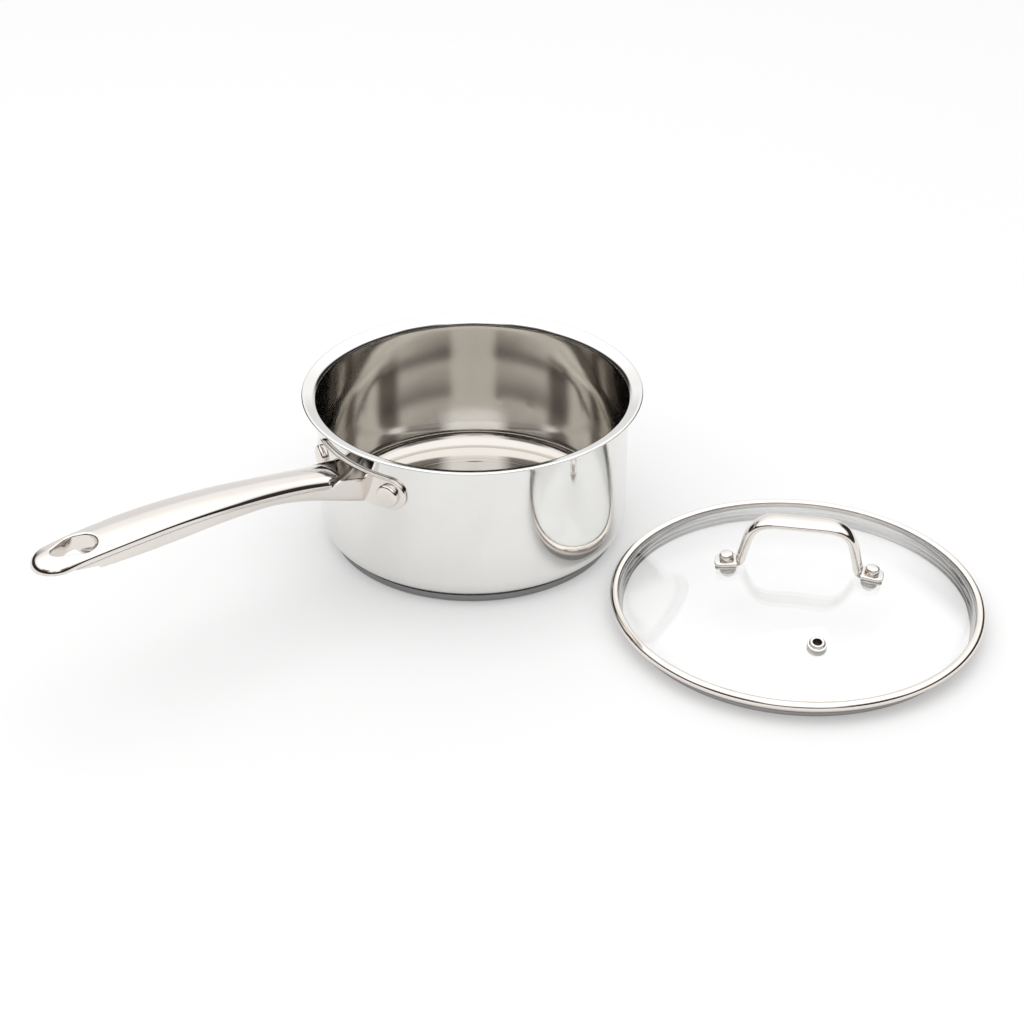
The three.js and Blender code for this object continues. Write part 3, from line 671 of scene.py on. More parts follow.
def seal_silicone():
    """Soft translucent-looking silicone."""
    name = "soft_silicone"
    if name in bpy.data.materials:
        return bpy.data.materials[name]
    material, tree, shader, where = start_material(name, LID_CENTRE)
    marks = effect(tree, marks_group(), {"Vector": where, "Size": 90.0})
    tinted(tree, shader, marks, sizes()[3].silicone, 0.9)
    tree.links.new(maths(tree, "MULTIPLY_ADD", marks, 0.12, 0.5), shader.inputs["Roughness"])
    bumped(tree, shader, (noise(tree, where, 2200.0, 2.0), 0.00002))
    shader.inputs["Subsurface Weight"].default_value = 0.15
    shader.inputs["Subsurface Radius"].default_value = (0.002, 0.002, 0.0018)
    return material


def tempered_glass():
    """Clear tempered glass that lets its light through to the floor."""
    name = "clear_tempered_glass"
    if name in bpy.data.materials:
        return bpy.data.materials[name]
    material, tree, shader, where = start_material(name, LID_CENTRE)
    marks = effect(tree, marks_group(), {"Vector": where, "Size": 24.0})
    waves = effect(tree, waves_group(), {"Vector": where, "Size": 12.0})
    shader.inputs["Base Color"].default_value = (1.0, 1.0, 1.0, 1.0)
    shader.inputs["Transmission Weight"].default_value = 1.0
    shader.inputs["IOR"].default_value = 1.5
    tree.links.new(maths(tree, "MULTIPLY", marks, 0.012), shader.inputs["Roughness"])
    bumped(tree, shader, (waves, 0.00002))
    clear = put(tree, "ShaderNodeBsdfTransparent", {}, {"Color": (0.985, 0.987, 0.986, 1.0)})
    path = put(tree, "ShaderNodeLightPath")
    passing = maths(tree, "MAXIMUM", path.outputs["Is Shadow Ray"], path.outputs["Is Diffuse Ray"])
    mixed = put(tree, "ShaderNodeMixShader", {}, {0: passing, 1: shader.outputs[0], 2: clear.outputs[0]})
    output = next(node for node in tree.nodes if node.type == "OUTPUT_MATERIAL")
    tree.links.new(mixed.outputs[0], output.inputs[0])
    return material


def floor_paper():
    """Matt white studio floor with a very faint tooth."""
    material, tree, shader, where = start_material("studio_floor")
    tinted(tree, shader, noise(tree, where, 700.0, 3.0), sizes()[3].floor, 0.99)
    shader.inputs["Roughness"].default_value = 0.95
    shader.inputs["Specular IOR Level"].default_value = 0.1
    shader.inputs["Emission Color"].default_value = (1.0, 1.0, 1.0, 1.0)
    shader.inputs["Emission Strength"].default_value = 0.32
    return material


# ---- Handle form -------------------------------------------------------------------------------
TIP_CENTRE = 248
TIP_RUN = 12
FLOOR_END = 232
RAIL_END = 245
HOLE_BIG_X = 236
HOLE_SMALL_X = 246.4
HOLE_SMALL_R = 3.8
HOLE_DEPTH = 6.4
TONGUE_START = 94
SHELL_START = 101


def crease_table():
    """Points along the crease, for looking its height up."""
    points = []
    for i in range(501):
        t = i / 500
        weights = ((1 - t) ** 3, 3 * t * (1 - t) ** 2, 3 * t * t * (1 - t), t ** 3)
        points.append(tuple(sum(w * p[k] for w, p in zip(weights, CREASE)) for k in (0, 1)))
    return points


CREASE_POINTS = crease_table()


def crease_z(distance):
    """Height of the crease at a distance from the pan's axis."""
    low, high = 0, len(CREASE_POINTS) - 1
    while high - low > 1:
        middle = (low + high) // 2
        if CREASE_POINTS[middle][0] < distance:
            low = middle
        else:
            high = middle
    (x0, z0), (x1, z1) = CREASE_POINTS[low], CREASE_POINTS[high]
    return z0 + (z1 - z0) * (distance - x0) / (x1 - x0)


def form_at(column, distance):
    """Smooth value of one column of HANDLE_FORM."""
    rows = HANDLE_FORM
    i = 0
    while i < len(rows) - 2 and distance > rows[i + 1][0]:
        i += 1

    def slope(k):
        before, after = rows[max(k - 1, 0)], rows[min(k + 1, len(rows) - 1)]
        return (after[column] - before[column]) / (after[0] - before[0])

    span = rows[i + 1][0] - rows[i][0]
    t = (distance - rows[i][0]) / span
    return ((2 * t ** 3 - 3 * t ** 2 + 1) * rows[i][column] + (t ** 3 - 2 * t ** 2 + t) * span * slope(i)
            + (3 * t ** 2 - 2 * t ** 3) * rows[i + 1][column] + (t ** 3 - t ** 2) * span * slope(i + 1))


def half_width(distance):
    """Half width of the handle at the crease."""
    if distance <= TIP_CENTRE:
        return form_at(1, distance)
    run = min((distance - TIP_CENTRE) / TIP_RUN, 1.0)
    return form_at(1, TIP_CENTRE) * math.sqrt(1 - run * run)


def rolled(distance, radius):
    """How far a rounded edge has dropped at a distance inside it."""
    if distance >= radius:
        return 0.0
    inside = radius - max(distance, 0.0)
    return radius - math.sqrt(radius * radius - inside * inside)


def hole_gap(distance, y, big_r):
    """Distance of a point from the hang hole's edge."""
    span = HOLE_SMALL_X - HOLE_BIG_X
    lean = (big_r - HOLE_SMALL_R) / span
    rise = math.sqrt(1 - lean * lean)
    along, across = distance - HOLE_BIG_X, abs(y)
    where = rise * along - lean * across
    if where < 0:
        return math.hypot(along, across) - big_r
    if where > rise * span:
        return math.hypot(along - span, across) - HOLE_SMALL_R
    return rise * across + lean * along - big_r


def hole_half_outline(big_r, count):
    """Half of the hang hole's edge, from the pan's side to the tip's side."""
    span = HOLE_SMALL_X - HOLE_BIG_X
    turn = math.degrees(math.acos((big_r - HOLE_SMALL_R) / span))
    line = joined(arc((HOLE_BIG_X, 0), big_r, 180, turn, 60),
                  arc((HOLE_SMALL_X, 0), HOLE_SMALL_R, turn, 0, 30))
    return resample(line, count)


def crease_bend(distance, handle):
    """Radius of the bend between the top face and the sides: full at the neck and the nose."""
    ease = smooth_step(distance, 125, 212)
    bend_r = handle.crease_round + (handle.side_round - handle.crease_round) * ease
    return (bend_r + (handle.nose_round - bend_r) * smooth_step(distance, 239, 254)) / MM


def folded_edge(distance, handle):
    """Depth below the crease of the upper shell's folded edge."""
    return max(handle.flange / MM, crease_bend(distance, handle) + 0.08)


def top_point(distance, y, handle):
    """A point of the upper shell's crowned face."""
    if distance <= TIP_CENTRE:
        width = half_width(distance)
        out = y / width
        edge = width - y
    else:
        out = math.hypot((distance - TIP_CENTRE) / TIP_RUN, y / form_at(1, TIP_CENTRE))
        edge = (1 - out) * TIP_RUN
    z = crease_z(distance) + handle.crown / MM * (1 - min(out, 1.0) ** 2)
    z -= rolled(edge, crease_bend(distance, handle))
    z -= rolled(hole_gap(distance, y, handle.hole_radius / MM), handle.hole_roll / MM)
    return (-distance, y, z)


def side_rows(outline, normals, handle, rows=5):
    """The folded edge below an outline of [distance, half width] points."""
    grid = []
    for k in range(rows + 1):
        row = []
        for (distance, y), (nd, ny) in zip(outline, normals):
            top = crease_bend(distance, handle)
            depth = top + (folded_edge(distance, handle) - top) * k / rows
            inset = SIDE_LEAN * (depth - top)
            row.append((-(distance - nd * inset), y - ny * inset, crease_z(distance) - depth))
        grid.append(row)
    return grid


def outline_normals(outline):
    """Outward direction in plan at each point of a line that runs towards the tip."""
    normals = []
    for i in range(len(outline)):
        a, b = outline[max(i - 1, 0)], outline[min(i + 1, len(outline) - 1)]
        run = math.dist(a, b)
        normals.append(((a[1] - b[1]) / run, (b[0] - a[0]) / run))
    normals[-1] = (1.0, 0.0)
    return normals


# Parts of the crease's bend, from its inner side out to the handle's outline.
OUTER_PARTS = (1.05, 0.85, 0.66, 0.5, 0.36, 0.24, 0.13, 0.05, 0.012, 0.0)
# Distances in millimetres from a row's inner point.
INNER_STEPS = (0.0, 0.03, 0.1, 0.2, 0.34, 0.52, 0.75, 1.0, 1.3)


def upper_shell_patches(handle):
    """Grids of the upper shell's outer surface: face, folded edge and hang hole's collar."""
    patches = []

    def across(distance):
        """Points from the middle to the outline, closer together round the bend."""
        width, turn = half_width(distance), crease_bend(distance, handle)
        inner = width - OUTER_PARTS[0] * turn
        return [inner * j / 12 for j in range(12)] + [width - part * turn for part in OUTER_PARTS]

    block_end, hole_start = 112, 214
    lateral = [y / half_width(block_end) for y in across(block_end)]
    rows = []
    edge_line = []
    for i in range(11):
        t = i / 10
        row = []
        for u in lateral:
            start = TONGUE_START + (SHELL_START - TONGUE_START) * smooth_step(u * 10.3, 6.5, 8.9)
            distance = start + (block_end - start) * t
            width = half_width(distance)
            row.append(top_point(distance, u * width, handle))
            if u == lateral[-1]:
                edge_line.append((distance, width))
        rows.append(row)
    distance = block_end
    while distance < hole_start - 0.1:
        distance = min(distance + STATION_STEP, hole_start)
        width = half_width(distance)
        rows.append([top_point(distance, y, handle) for y in across(distance)])
        edge_line.append((distance, width))
    patches.append(rows)

    station = [(hole_start, y) for y in across(hole_start)]
    outline = [(hole_start + 0.5 * i, half_width(hole_start + 0.5 * i))
               for i in range(int((TIP_CENTRE - hole_start) / 0.5) + 1)]
    outline += [(TIP_CENTRE + TIP_RUN * math.sin(math.pi / 2 * i / 40),
                 form_at(1, TIP_CENTRE) * math.cos(math.pi / 2 * i / 40)) for i in range(1, 41)]
    outline = resample(outline, 64)
    outline[-1] = (TIP_CENTRE + TIP_RUN, 0.0)
    outer = station + outline[1:]
    hole = hole_half_outline(handle.hole_radius / MM, 500)
    first_part = 0.2
    inner = []
    for i in range(len(outer)):
        if i < len(station):
            part = first_part * i / (len(station) - 1)
        else:
            part = first_part + (1 - first_part) * (i - len(station) + 1) / (len(outer) - len(station))
        inner.append(hole[round(part * 499)])
    rows = []
    for near, far in zip(inner, outer):
        run = math.dist(near, far)
        turn = crease_bend(far[0], handle)
        middle_start, middle_end = INNER_STEPS[-1], run - OUTER_PARTS[0] * turn
        reaches = list(INNER_STEPS)
        reaches += [middle_start + (middle_end - middle_start) * k / 6 for k in range(1, 6)]
        reaches += [run - part * turn for part in OUTER_PARTS]
        row = []
        for reach in reaches:
            t = reach / run
            distance, y = (n + (f - n) * t for n, f in zip(near, far))
            row.append(top_point(distance, y, handle))
        rows.append(row)
    patches.append(rows)

    def collar_end(x):
        """The collar reaches the lower shell's floor, and is shorter beyond it."""
        shorter = smooth_step(-x, FLOOR_END - 0.5, FLOOR_END + 2.5)
        return crease_z(HOLE_BIG_X) - HOLE_DEPTH - 1.3 * (1 - shorter)

    patches.append([[(row[0][0], row[0][1], row[0][2] + (collar_end(row[0][0]) - row[0][2]) * k / 6)
                     for row in rows] for k in range(7)])

    edge_line = joined(edge_line, outline)
    patches.append(side_rows(edge_line, outline_normals(edge_line), handle))
    return patches


def lower_shell_patches(handle):
    """Grids of the lower shell's outer surface: trough, and the rails beside the hang hole."""
    corner = 2.4
    start_r = 82.75

    def section(distance):
        """Half section from the floor's middle up the side, as (y, z) points."""
        width, depth = half_width(distance), form_at(2, distance)
        crease = crease_z(distance)
        top = folded_edge(distance, handle) + 0.3
        top -= (top - 0.2) * (1 - smooth_step(distance, 95.5, 101.5))
        foot = width - SIDE_LEAN * depth
        points = [((foot - corner) * k / 8, crease - depth) for k in range(8)]
        for k in range(7):
            turn = math.pi / 2 * k / 6
            rise = corner * (1 - math.cos(turn))
            points.append((foot - corner + corner * math.sin(turn), crease - depth + rise))
        low = depth - corner
        for k in range(1, 9):
            down = low + (top - low) * k / 8
            points.append((width - SIDE_LEAN * down, crease - down))
        return points

    stations = [100 + STATION_STEP * i for i in range(int((FLOOR_END - 100) / STATION_STEP) + 1)]
    stations[-1] = FLOOR_END
    rows = []
    for i in range(9):
        t = i / 9
        row = []
        for k, (y, _) in enumerate(section(start_r)):
            start = math.sqrt(start_r ** 2 - y ** 2)
            distance = start + (100 - start) * t
            y, z = section(distance)[k]
            row.append((-distance, y, z))
        rows.append(row)
    for distance in stations:
        rows.append([(-distance, y, z) for y, z in section(distance)])
    rails = []
    for i in range(13):
        distance = FLOOR_END + (RAIL_END - FLOOR_END) * i / 12
        width, crease = half_width(distance), crease_z(distance)
        top = folded_edge(distance, handle) + 0.3
        low = form_at(2, FLOOR_END) - corner
        low += (top + 0.3 - low) * (i / 12)
        row = []
        for k in range(9):
            down = low + (top - low) * k / 8
            row.append((-distance, width - SIDE_LEAN * down, crease - down))
        rails.append(row)
    return [rows, rails]


# ---- Pieces ------------------------------------------------------------------------------------
def pan_profile(pan):
    """Outline of the pan's sheet from the axis round the lip and back."""
    wall = (pan.inner_radius + pan.sheet / 2) / MM
    floor = (pan.floor_underside + pan.sheet / 2) / MM
    corner, flare = pan.corner_radius / MM, pan.flare_radius / MM
    start, lip = pan.flare_start / MM, pan.lip_radius / MM
    flare_end = 90 + math.degrees(pan.lip_rise)
    bent = arc((wall + flare, start), flare, 180, flare_end, 16)
    lip_z = bent[-1][1] + (lip - bent[-1][0]) * math.tan(pan.lip_rise)
    turn_down = (lip - 1.5, lip_z - 1.1 * math.tan(pan.lip_rise))
    line = joined(
        resample([(0, floor), (wall - corner, floor)], 40),
        arc((wall - corner, floor + corner), corner, -90, 0, 18),
        resample([(wall, floor + corner), (wall, start)], 34),
        bent,
        resample([bent[-1], turn_down], 8),
        bend(turn_down, (lip - 0.8, lip_z - 0.1), (lip - 0.4, lip_z - 0.5), 8),
    )
    outline = sheet_outline(line, pan.sheet / MM, round_start=False)
    half = len(outline) // 2
    shaped = []
    for i, (r, z) in enumerate(outline):
        if i > half and z < floor + 2:
            z += 0.35 * (1 - smooth_step(r, 58.5, 60.5))
        shaped.append((max(r, 0.0), z))
    return shaped


class SAUCEPAN_OT_pan_body(bpy.types.Operator):
    """Pan body: one spun sheet with a rounded corner and a flared pouring lip"""
    bl_idname = "saucepan.pan_body"
    bl_label = "Pan body"

    def execute(self, context):
        pan, _, _, _ = sizes()
        obj = spun("pan_body_skin", pan_profile(pan), steel("polished_wall_steel"), steps=256)
        mesh = obj.data
        mesh.materials.append(steel("spun_inside_steel"))
        mesh.materials.append(steel("spun_floor_steel"))
        middle = pan.inner_radius + pan.sheet / 2
        for face in mesh.polygons:
            reach = math.hypot(face.center.x, face.center.y)
            if reach < middle and (reach > pan.base_radius or face.normal.z > 0) and \
                    face.center.z < pan.flare_start and face.center.z > pan.floor_underside + pan.sheet / 2:
                outward = (face.normal.x * face.center.x + face.normal.y * face.center.y) / max(reach, 1e-6)
                if outward < 0.02:
                    # Upward-facing inside faces take the near-white floor steel as painted light; the other
                    # inside faces take the spun inside steel.
                    face.material_index = 2 if face.normal.z > 0.97 else 1
        hand_over(obj, "pan", "pan_steel", "pan_body")
        return {"FINISHED"}


class SAUCEPAN_OT_base(bpy.types.Operator):
    """Layered base: satin steel cap with turned rings under an aluminium core"""
    bl_idname = "saucepan.base"
    bl_label = "Layered base"

    def execute(self, context):
        pan, _, _, _ = sizes()
        sheet, edge = pan.cap_sheet / MM, pan.cap_edge_radius / MM
        outer = pan.base_radius / MM - sheet / 2
        line = joined(
            resample([(0, sheet / 2), (outer - edge, sheet / 2)], 150),
            arc((outer - edge, sheet / 2 + edge), edge, -90, 0, 10),
            resample([(outer, sheet / 2 + edge), (outer, pan.cap_top / MM - 0.3)], 6),
        )
        outline = sheet_outline(line, sheet, round_start=False)
        ringed = []
        for i, (r, z) in enumerate(outline):
            if i < 150 and z < sheet / 2:
                for groove in (9, 21, 33, 45, 57, 66):
                    away = abs(r - groove)
                    z += 0.16 * (1 - smooth_step(away, 0.2, 0.9))
            ringed.append((max(r, 0.0), z))
        # The cap's dark satin colour is painted shade.
        obj = spun("base_cap_skin", ringed, steel("satin_cap_steel"), steps=224)
        hand_over(obj, "pan", "satin_base_steel", "base_cap")
        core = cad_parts["base_core_disc"]
        for slot in core.material_slots:
            slot.material = steel("pressed_aluminium")
        return {"FINISHED"}


def pressed_shell(name, patches, handle, up_point):
    """One of the handle's two shells from the grids of its outer surface."""
    points, faces = [], []
    for grid in patches:
        add_patch(points, faces, grid)
    return sheet_piece(name, points, faces, steel("polished_handle_steel"), handle.sheet / MM, up_point)


class SAUCEPAN_OT_handle(bpy.types.Operator):
    """Long handle: two pressed shells that meet below the crease, with a hang hole"""
    bl_idname = "saucepan.handle"
    bl_label = "Long handle"

    def execute(self, context):
        _, handle, _, _ = sizes()
        top = pressed_shell("handle_top_skin", upper_shell_patches(handle), handle,
                            ((-160, 0, crease_z(160) + 2.2), (0, 0, 1)))
        hand_over(top, "pan", "polished_steel", "handle_top_shell")
        bottom = pressed_shell("handle_bottom_skin", lower_shell_patches(handle), handle,
                               ((-160, 0, crease_z(160) - 8.8), (0, 0, -1)))
        bottom.data.materials.append(steel("satin_fittings_steel"))
        for face in bottom.data.polygons:
            if face.normal.z > 0.1 and face.center.z < (crease_z(-face.center.x * 1000) - 3.2) * MM:
                face.material_index = 1
        hand_over(bottom, "pan", "polished_steel", "handle_bottom_shell")
        return {"FINISHED"}


class SAUCEPAN_OT_bracket(bpy.types.Operator):
    """Bracket: a plate with rounded ears bent round the wall"""
    bl_idname = "saucepan.bracket"
    bl_label = "Bracket"

    def execute(self, context):
        pan, handle, _, _ = sizes()
        inner = (pan.inner_radius + pan.sheet) / MM + GAP
        outer = inner + handle.bracket_sheet / MM
        half = handle.bracket_height / MM / 2
        ear = inner * math.sin(handle.ear_angle)
        middle = handle.bracket_middle / MM
        soft = 0.7
        near = [0.0, 0.02, 0.07, 0.15, 0.27, 0.42, 0.58, 0.75, 1.1, 1.7, 2.6, 3.8]
        ends = [ear + half - step for step in near] + [ear + half - 5.2, ear + half - 6.8, ear]
        ends += [ear * (1 - k / 18) for k in range(1, 18)]
        columns = [-y for y in ends] + [0.0] + ends[::-1]
        rows = [1 - step / half for step in near] + [0.4, 0.2]
        rows = [-v for v in rows] + [0.0] + rows[::-1]
        points, faces = [], []

        def surface(face_r, rounding):
            grid = []
            for y in columns:
                past = max(abs(y) - ear, 0.0)
                tall = math.sqrt(max(half * half - past * past, 0.0))
                line = []
                for v in rows:
                    z = v * tall
                    inside = half - math.hypot(past, z)
                    r = face_r - rolled(inside, rounding) if rounding else face_r
                    turn = math.asin(y / inner)
                    line.append((-r * math.cos(turn), r * math.sin(turn), middle + z))
                grid.append(line)
            return grid

        front, back = surface(outer, soft), surface(inner, 0)
        add_patch(points, faces, front, mirror=False)
        add_patch(points, faces, back, mirror=False)
        for side in (0, -1):
            strip = [[line[side] for line in front], [line[side] for line in back]]
            add_patch(points, faces, strip, mirror=False)
        obj = add_object("handle_bracket_skin", points, [], faces)
        tidy_normals(obj)
        obj.data.materials.append(steel("polished_handle_steel"))
        shade(obj, 50)
        hand_over(obj, "pan", "polished_steel", "handle_bracket")
        return {"FINISHED"}


class SAUCEPAN_OT_rivets(bpy.types.Operator):
    """Rivets: flat-topped heads with a rounded edge outside, low flat heads inside"""
    bl_idname = "saucepan.rivets"
    bl_label = "Rivets"

    def execute(self, context):
        pan, handle, _, _ = sizes()
        wall = (pan.inner_radius + pan.sheet) / MM
        base = wall + GAP + handle.bracket_sheet / MM - GAP / 2
        head, tall = handle.rivet_head / MM, handle.rivet_height / MM
        inner = pan.inner_radius / MM - 0.05
        edge, rim = 1.5, base + tall - 0.35
        dome = joined(
            arc((head - edge, rim - edge), edge, 0, 85, 17),
            bend((head - edge, rim), (head - 2.6, base + tall), (0, base + tall), 12),
        )
        outline = joined(
            [(0, inner - 1.9), (1.5, inner - 1.88), (3.1, inner - 1.72)],
            bend((4.1, inner - 1.45), (4.95, inner - 1.15), (5.05, inner - 0.5), 6),
            [(5.1, inner), (2.4, inner + 0.05), (2.4, base), (head - 0.15, base), (head, base + 0.2)],
            dome,
        )
        outline[-1] = (0.0, outline[-1][1])
        obj = spun("handle_rivets", outline, steel("polished_handle_steel"), steps=56, Count=2,
                   Tilt=-math.pi / 2, Height=handle.bracket_middle,
                   **{"First Turn": -handle.ear_angle, "Turn Between": 2 * handle.ear_angle})
        hand_over(obj, "pan", "polished_steel", "handle_rivet_left", "handle_rivet_right")
        return {"FINISHED"}


class SAUCEPAN_OT_lid_glass(bpy.types.Operator):
    """Lid glass: a tempered dome with a flat rim and holes for the fittings"""
    bl_idname = "saucepan.lid_glass"
    bl_label = "Lid glass"

    def execute(self, context):
        _, _, lid, _ = sizes()
        thick, outer = lid.glass / MM, lid.glass_radius / MM
        top, bottom = RIM_TOP, RIM_TOP - thick
        steps = 42
        reaches = [(r * DOME_END_ABOVE / steps, r * DOME_END_BELOW / steps) for r in range(steps + 1)]
        upper = [(above, dome_z(lid, above)) for above, _ in reaches]
        lower = [(below, dome_z(lid, below, thick)) for _, below in reaches]
        outline = joined(
            upper,
            bend((84.6, dome_z(lid, 84.6)), (87.2, top + 0.05), (89.2, top), 8),
            bend((outer - 0.8, top), (outer, top), (outer, top - 0.8), 5),
            bend((outer, bottom + 0.8), (outer, bottom), (outer - 0.8, bottom), 5),
            bend((88, bottom), (86.2, bottom + 0.05), (83.6, dome_z(lid, 83.6, thick)), 8),
            lower[::-1],
        )
        obj = spun("lid_glass_skin", outline, tempered_glass(), steps=256)
        cutters = []
        for reach, turn, radius in (
                (lid.screw_reach, 0.0, 0.003), (lid.screw_reach, math.pi, 0.003),
                (lid.vent_reach, lid.vent_turn, 0.0028)):
            cutter = spun("cutter", [(0, -9), (radius / MM, -9), (radius / MM, 9), (0, 9)],
                          tempered_glass(), steps=40, **on_dome(lid, reach, turn))
            hole = obj.modifiers.new("Hole", "BOOLEAN")
            hole.operation = "DIFFERENCE"
            hole.object = cutter
            cutters.append(cutter)
        bake(obj)
        for cutter in cutters:
            bpy.data.objects.remove(cutter)
        obj.data.transform(lid_place(lid))
        shade(obj)
        hand_over(obj, "lid", "tempered_glass", "lid_glass")
        return {"FINISHED"}


class SAUCEPAN_OT_lid_band(bpy.types.Operator):
    """Lid band: rolled steel band with its skirt, and the seal inside it"""
    bl_idname = "saucepan.lid_band"
    bl_label = "Lid band and seal"

    def execute(self, context):
        _, _, lid, _ = sizes()
        sheet = lid.band_sheet / MM
        half = sheet / 2
        top, bottom, outer = BAND_TOP - half, BAND_BOTTOM + half, lid.band_radius / MM - half
        centre, flat_r, tall_r = outer - 2.1, 2.1, (top - bottom) / 2
        turns = [math.radians(a) for a in range(90, -91, -6)]
        bead = [(centre + flat_r * math.cos(a), BAND_MIDDLE + tall_r * math.sin(a)) for a in turns]
        line = joined(
            bend((88.9, top - 0.75), (89.1, top - 0.35), (89.6, top - 0.22), 4),
            bend((89.8, top - 0.18), (90.4, top), (centre, top), 4),
            bead,
            resample([(centre, bottom), (89.4, bottom)], 4),
            bend((89.1, bottom), (88.1, bottom), (87.75, bottom - 1.2), 6),
            [(r + SKIRT_WAVE * math.sin(TAU * SKIRT_WAVES * k / SKIRT_STEPS), z) for k, (r, z) in enumerate(
                resample([(87.75, bottom - 1.2), (86.25, half + 0.02)], SKIRT_STEPS))],
        )
        outline = sheet_outline(line, sheet)
        band = spun("lid_band_skin", outline, steel("polished_band_steel"), closed=True, steps=256,
                    place=lid_place(lid))
        band.data.materials.append(steel("brushed_skirt_steel"))
        middle = lid_place(lid).translation
        # Faces inside SKIRT_OUTSIDE take the darker skirt steel, painted shade.
        for face in band.data.polygons:
            if math.hypot(face.center.x - middle.x, face.center.y - middle.y) < SKIRT_OUTSIDE:
                face.material_index = 1
        hand_over(band, "lid", "polished_steel", "lid_band")
        level = BAND_MIDDLE
        seal = spun("lid_seal_skin", [
            (91.2, level - 1.0), (91.4, level - 1.2), (91.9, level - 1.2), (92.25, level - 0.8),
            (92.3, level), (92.25, level + 0.8), (91.9, level + 1.2), (91.4, level + 1.2),
            (91.2, level + 1.0)], seal_silicone(), closed=True, steps=192, place=lid_place(lid))
        hand_over(seal, "lid", "seal_silicone", "lid_band_seal")
        return {"FINISHED"}


def strap_section(point, along, width, thickness, fullness):
    """Section of the lid handle, square to its path: oval when full, flat with soft edges when not."""
    power = 5.0 - 2.6 * fullness
    loop = []
    for k in range(44):
        turn = TAU * k / 44
        c, s = math.cos(turn), math.sin(turn)
        y = width / 2 * math.copysign(abs(c) ** (2 / power), c)
        n = thickness / 2 * math.copysign(abs(s) ** (2 / power), s)
        loop.append((point[0] - along[1] * n, y, point[1] + along[0] * n))
    return loop


class SAUCEPAN_OT_lid_handle(bpy.types.Operator):
    """Lid handle: a strap with two flat feet, leaning legs and a thicker bar"""
    bl_idname = "saucepan.lid_handle"
    bl_label = "Lid handle"

    def execute(self, context):
        _, _, lid, _ = sizes()
        reach, bar = lid.screw_reach / MM, BAR_TOP - lid.bar_thickness / MM / 2
        tilt = math.asin(reach / (lid.dome_radius / MM))
        lift = 2.6

        def foot(distance):
            out = distance - reach
            return (reach + lift * math.sin(tilt) + out * math.cos(tilt),
                    dome_z(lid, reach) + lift * math.cos(tilt) - out * math.sin(tilt))

        toe, heel = foot(41.2), foot(30.6)
        half = joined(
            [toe, heel], bend(heel, (29.0, 27.3), (28.4, 31.4), 16), [(28.4, 31.4), (26.1, 41.0)],
            bend((26.1, 41.0), (23.4, bar), (11.0, bar), 40), [(11.0, bar), (0, bar)])
        half = resample(half, 92)
        extra = [0.0, 0.05, 0.16, 0.34]
        head = [(toe[0] + (heel[0] - toe[0]) * e / 10.6, toe[1] + (heel[1] - toe[1]) * e / 10.6)
                for e in extra]
        half = head + half[1:]
        line = half + [(-x, z) for x, z in half[:-1][::-1]]
        loops = []
        for i, point in enumerate(line):
            before, after = line[max(i - 1, 0)], line[min(i + 1, len(line) - 1)]
            run = math.dist(before, after)
            along = ((after[0] - before[0]) / run, (after[1] - before[1]) / run)
            out = abs(point[0])
            on_foot = smooth_step(out, 28.8, 30.4)
            on_bar = 1 - smooth_step(out, 14, 25.5)
            width, thickness = (
                leg + on_foot * (foot_size - leg) + on_bar * (bar_size - leg)
                for leg, foot_size, bar_size in (
                    (lid.leg_width / MM, lid.foot_width / MM, lid.bar_width / MM),
                    (lid.leg_thickness / MM, 2.0, lid.bar_thickness / MM)))
            end = min(math.dist(point, line[0]), math.dist(point, line[-1]))
            width -= 2 * rolled(end, 3.2) * 0.92
            thickness -= 2 * rolled(end, 0.35)
            loops.append(strap_section(point, along, width, max(thickness, 1.2), 1 - on_foot))
        obj = lofted("lid_handle_skin", loops)
        obj.data.transform(lid_place(lid))
        tidy_normals(obj)
        obj.data.materials.append(steel("polished_fittings_steel"))
        shade(obj, 45)
        hand_over(obj, "lid", "polished_steel", "lid_handle")
        return {"FINISHED"}


